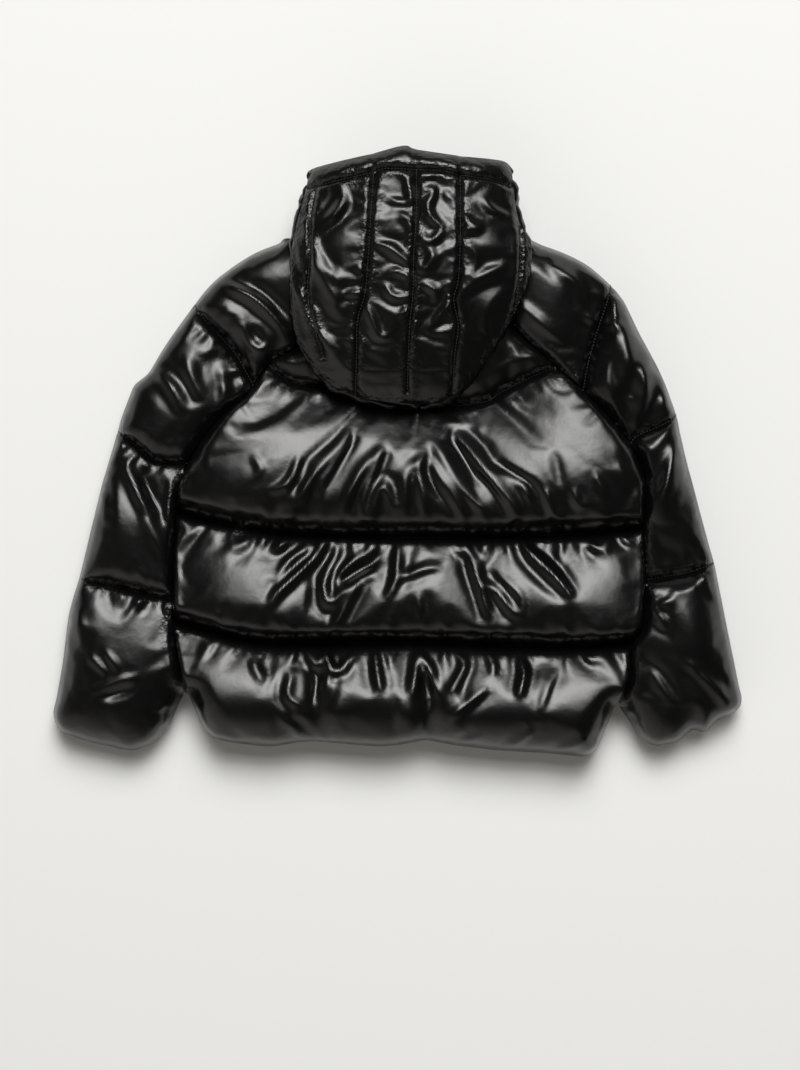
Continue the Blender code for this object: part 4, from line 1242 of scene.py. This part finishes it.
class JACKET_OT_hood(bpy.types.Operator):
    """Make the hood's three panels and its band, with the parts beneath them"""

    bl_idname = "jacket.hood"
    bl_label = "Hood"

    def execute(self, context):
        step = settings().cloth_step / MM
        rim = smooth(RIM, step)
        rows = [row for row in HOOD_SECTIONS if row.y < BAND_FROM]
        left_side = [(row.left, row.y) for row in rows][::-1]
        right_side = [(row.right, row.y) for row in rows]
        sides = smooth([tuple(rim[0])] + left_side + right_side + [tuple(rim[-1])], step)
        ring = turned_left(np.vstack([sides[:-1], rim[::-1][:-1]]))
        loop = inset(ring, np.where(along(ring, rim)[0] < 1, RIM_INSET, HOOD_INSET))[0]
        seams = [smooth(line, step) for line in (HOOD_LEFT_SEAM, HOOD_RIGHT_SEAM, BAND_SEAM)]
        quilting = [smooth(line, step) for line in (HOOD_LEFT_QUILT, HOOD_MID_QUILT, HOOD_RIGHT_QUILT)]
        crossings = [np.array([(x, y), (x, y + BAND_WIDTH)], float) for x, y in BAND_CROSSINGS]
        points, faces = fill(loop, seams + quilting, step)
        heights = hood_dome(points)
        for lines, (depth, reach) in ((seams, SEAM_VALLEY), (quilting, QUILT_VALLEY),
                                      ([rim], RIM_VALLEY), (crossings, BAND_VALLEY)):
            for line in lines:
                heights -= depth * (1 - rise(along(points, line)[0], reach))
        for number, line in enumerate(seams + quilting):
            heights += pleats(points, line, HOOD_SEED + number, HOOD_PLEATS)
        heights += fold_relief(points, HOOD_FOLDS)
        held = hold(points, faces, seams + quilting)
        cloth = cloth_object("hood_cloth", points, heights, faces, held)
        inflate([cloth], *HOOD_FILLING)
        points = relax(spots_of(cloth.data) / MM, faces, held, 1)
        middles = points[faces].mean(axis=1)[:, :2]
        in_band = along(middles, seams[2])[1] > 0
        left_of = along(middles, seams[0])[1] < 0
        right_of = along(middles, seams[1])[1] > 0
        groups = {
            "hood_band": in_band,
            "hood_side_left": ~in_band & left_of,
            "hood_side_right": ~in_band & right_of,
            "hood_centre": ~in_band & ~left_of & ~right_of,
        }
        for node, chosen in groups.items():
            padded_panel(node, points, faces[chosen], hood_inside, held, HOOD_FULL)
            self.lower_part(node)
        bpy.data.objects.remove(cloth)
        sew("hood_stitches", points, seams + quilting)
        return {"FINISHED"}

    def lower_part(self, node):
        """The part of a hood panel under its outer cloth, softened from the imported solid."""
        shape = merged(node)
        cut = bmesh.ops.bisect_plane(shape, geom=shape.verts[:] + shape.edges[:] + shape.faces[:],
                                     dist=MERGE, plane_co=(0, 0, HOOD_CUT), plane_no=(0, 0, 1),
                                     clear_outer=True)
        edges = [item for item in cut["geom_cut"] if isinstance(item, bmesh.types.BMEdge)]
        bmesh.ops.holes_fill(shape, edges=edges, sides=0)
        if not shape.faces:
            shape.free()
            return
        bmesh.ops.triangulate(shape, faces=shape.faces)
        mesh = bpy.data.meshes.new(node + "_under")
        shape.to_mesh(mesh)
        shape.free()
        piece = new_object(node + "_under", mesh)
        remesh = piece.modifiers.new("even", "REMESH")
        remesh.mode = "VOXEL"
        remesh.voxel_size = UNDER_GRID
        soften = piece.modifiers.new("soften", "SMOOTH")
        soften.factor = 0.5
        soften.iterations = UNDER_ROUNDS
        final = settle(piece)
        normals = [vert.normal.copy() for vert in final.vertices]
        for vert, normal in zip(final.vertices, normals):
            x, y, z = vert.co / MM
            fold_height = noise.noise(Vector((x / 16, (y + 1.3 * z) / 7, z / 30)))
            vert.co += normal * (UNDER_SWELL + UNDER_FOLDS * fold_height) * MM
            vert.co.z = max(vert.co.z, 0.0)
        final.shade_smooth()
        final.materials.append(shell_finish())
        place_piece(piece, "shell_nylon", fill_share=HOOD_FULL)


# The zip's teeth, in millimetres: how wide one is on the chain, and where the rows start and end.
TOOTH_SHARE = 0.56
TOOTH_HEIGHT = 0.42  # of its pitch
TOOTH_OVERLAP = 0.9
FIRST_TOOTH, LAST_TOOTH = 0.7, 1.4


class JACKET_OT_zip(bpy.types.Operator):
    """Finish the zip's tapes, box, slider and pull tab, and make its teeth"""

    bl_idname = "jacket.zip"
    bl_label = "Zip"

    def execute(self, context):
        tape, plastic, metal = tape_finish(), plastic_finish(), metal_finish()
        for node, finish in (("zip_tape_left", tape), ("zip_tape_right", tape), ("zip_box", plastic),
                             ("zip_chain", plastic), ("zip_slider", metal), ("zip_pull", metal)):
            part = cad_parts[node]
            part.data.materials.clear()
            part.data.materials.append(finish)
        low, high = (np.array(corner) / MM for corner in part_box("zip_chain"))
        middle, level, pitch = (low[0] + high[0]) / 2, (low[2] + high[2]) / 2, settings().tooth_pitch
        whole, depth = high[0] - low[0], high[2] - low[2]
        width = whole * TOOTH_SHARE
        rows = []
        for side, shift in ((-1, 0), (1, pitch / MM / 2 - TOOTH_OVERLAP)):
            x = middle + side * (whole - width) / 2
            rows.append([(x, low[1] + FIRST_TOOTH + shift, level),
                         (x, high[1] - LAST_TOOTH + shift, level)])
        group = node_group("teeth", {"Pitch": 0.0032, "Width": 0.003, "Depth": 0.0026}, build_teeth)
        teeth = grow("zip_teeth", group, rows,
                     {"Pitch": pitch, "Width": width * MM, "Depth": depth * MM}, plastic)
        place_piece(teeth, "zip_plastic", "zip_chain")
        return {"FINISHED"}


# The studio, in metres and watts.
FLOOR_REACH, FLOOR_LEVEL = 6.0, -0.0004
LAMPS = (
    ("key", (0.45, 4.3, 6.2), (5.4, 4.8), 430),
    ("key_core", (0.45, 4.26, 6.14), (2.9, 2.5), 210),
)
LAMP_AIM = (0.02, 0.0, 0.0)
LAMP_COLOUR = (1.0, 1.0, 0.985)
ROOM_COLOUR = (1.0, 0.97, 0.9, 1)
ROOM_GLOW = (-0.5, -0.8, -0.1)  # the room is brightest on this side
ROOM_FALL = {"From Min": 0.1, "From Max": 0.95, "To Min": 0.05, "To Max": 0.75}
CAMERA_PLACE = (0.0025, -0.081, 2.56)
LENS = (85, 36)  # millimetres: the focal length and the width that it sees


class JACKET_OT_stage(bpy.types.Operator):
    """Make the pale floor, the studio lights and the camera straight above"""

    bl_idname = "jacket.stage"
    bl_label = "Stage"

    def execute(self, context):
        scene = context.scene
        mesh = bpy.data.meshes.new("floor")
        corners = [(x * FLOOR_REACH, y * FLOOR_REACH, FLOOR_LEVEL)
                   for x, y in ((-1, -1), (1, -1), (1, 1), (-1, 1))]
        mesh.from_pydata(corners, [], [(0, 1, 2, 3)])
        floor = new_object("floor", mesh)
        finish = Finish("studio_floor")
        finish.set(Base_Color=(*settings().floor_colour, 1), Roughness=0.9, Specular_IOR_Level=0.2)
        mesh.materials.append(finish.material)
        for name, place, size, power in LAMPS:
            lamp = bpy.data.lights.new(name, "AREA")
            lamp.shape = "RECTANGLE"
            lamp.size, lamp.size_y = size
            lamp.energy = power
            lamp.color = LAMP_COLOUR
            made = new_object(name, lamp)
            made.location = place
            ray = Vector(LAMP_AIM) - Vector(place)
            made.rotation_euler = ray.to_track_quat("-Z", "Y").to_euler()
        scene.world = self.room()
        camera = bpy.data.cameras.new("camera")
        camera.lens, camera.sensor_width = LENS
        eye = new_object("camera", camera)
        eye.location = CAMERA_PLACE
        scene.camera = eye
        scene.view_settings.view_transform = "Standard"
        return {"FINISHED"}

    def room(self):
        """The dim light of the room around the jacket."""
        world = bpy.data.worlds.new("studio")
        world.use_nodes = True
        tree = world.node_tree
        sight = add_node(tree, "ShaderNodeTexCoord", {}, {}, "Generated")
        facing = add_node(tree, "ShaderNodeVectorMath", {"operation": "DOT_PRODUCT"},
                          {0: sight, 1: ROOM_GLOW}, "Value")
        glow = add_node(tree, "ShaderNodeMapRange", {"interpolation_type": "SMOOTHSTEP"},
                        {"Value": facing, **ROOM_FALL}, "Result")
        background = tree.nodes["Background"]
        feed(tree, background.inputs["Strength"], glow)
        feed(tree, background.inputs["Color"], ROOM_COLOUR)
        return world


class JACKET_PT_panel(bpy.types.Panel):
    """The jacket's steps in the sidebar"""

    bl_label = "Puffer jacket"
    bl_idname = "JACKET_PT_panel"
    bl_space_type = "VIEW_3D"
    bl_region_type = "UI"
    bl_category = "Jacket"

    def draw(self, context):
        for name in JacketSettings.__annotations__:
            self.layout.prop(context.scene.jacket_settings, name)
        for step in STEPS:
            self.layout.operator(step.bl_idname)


STEPS = (JACKET_OT_back, JACKET_OT_sleeves, JACKET_OT_fronts, JACKET_OT_hood, JACKET_OT_zip,
         JACKET_OT_stage)
CLASSES = (JacketSettings, *STEPS, JACKET_PT_panel)


def register():
    for kind in CLASSES:
        bpy.utils.register_class(kind)
    bpy.types.Scene.jacket_settings = bpy.props.PointerProperty(type=JacketSettings)


def unregister():
    del bpy.types.Scene.jacket_settings
    for kind in reversed(CLASSES):
        bpy.utils.unregister_class(kind)


def main():
    register()
    bpy.ops.jacket.back()
    bpy.ops.jacket.sleeves()
    bpy.ops.jacket.fronts()
    bpy.ops.jacket.hood()
    bpy.ops.jacket.zip()
    bpy.ops.jacket.stage()


if __name__ == "__main__":
    main()
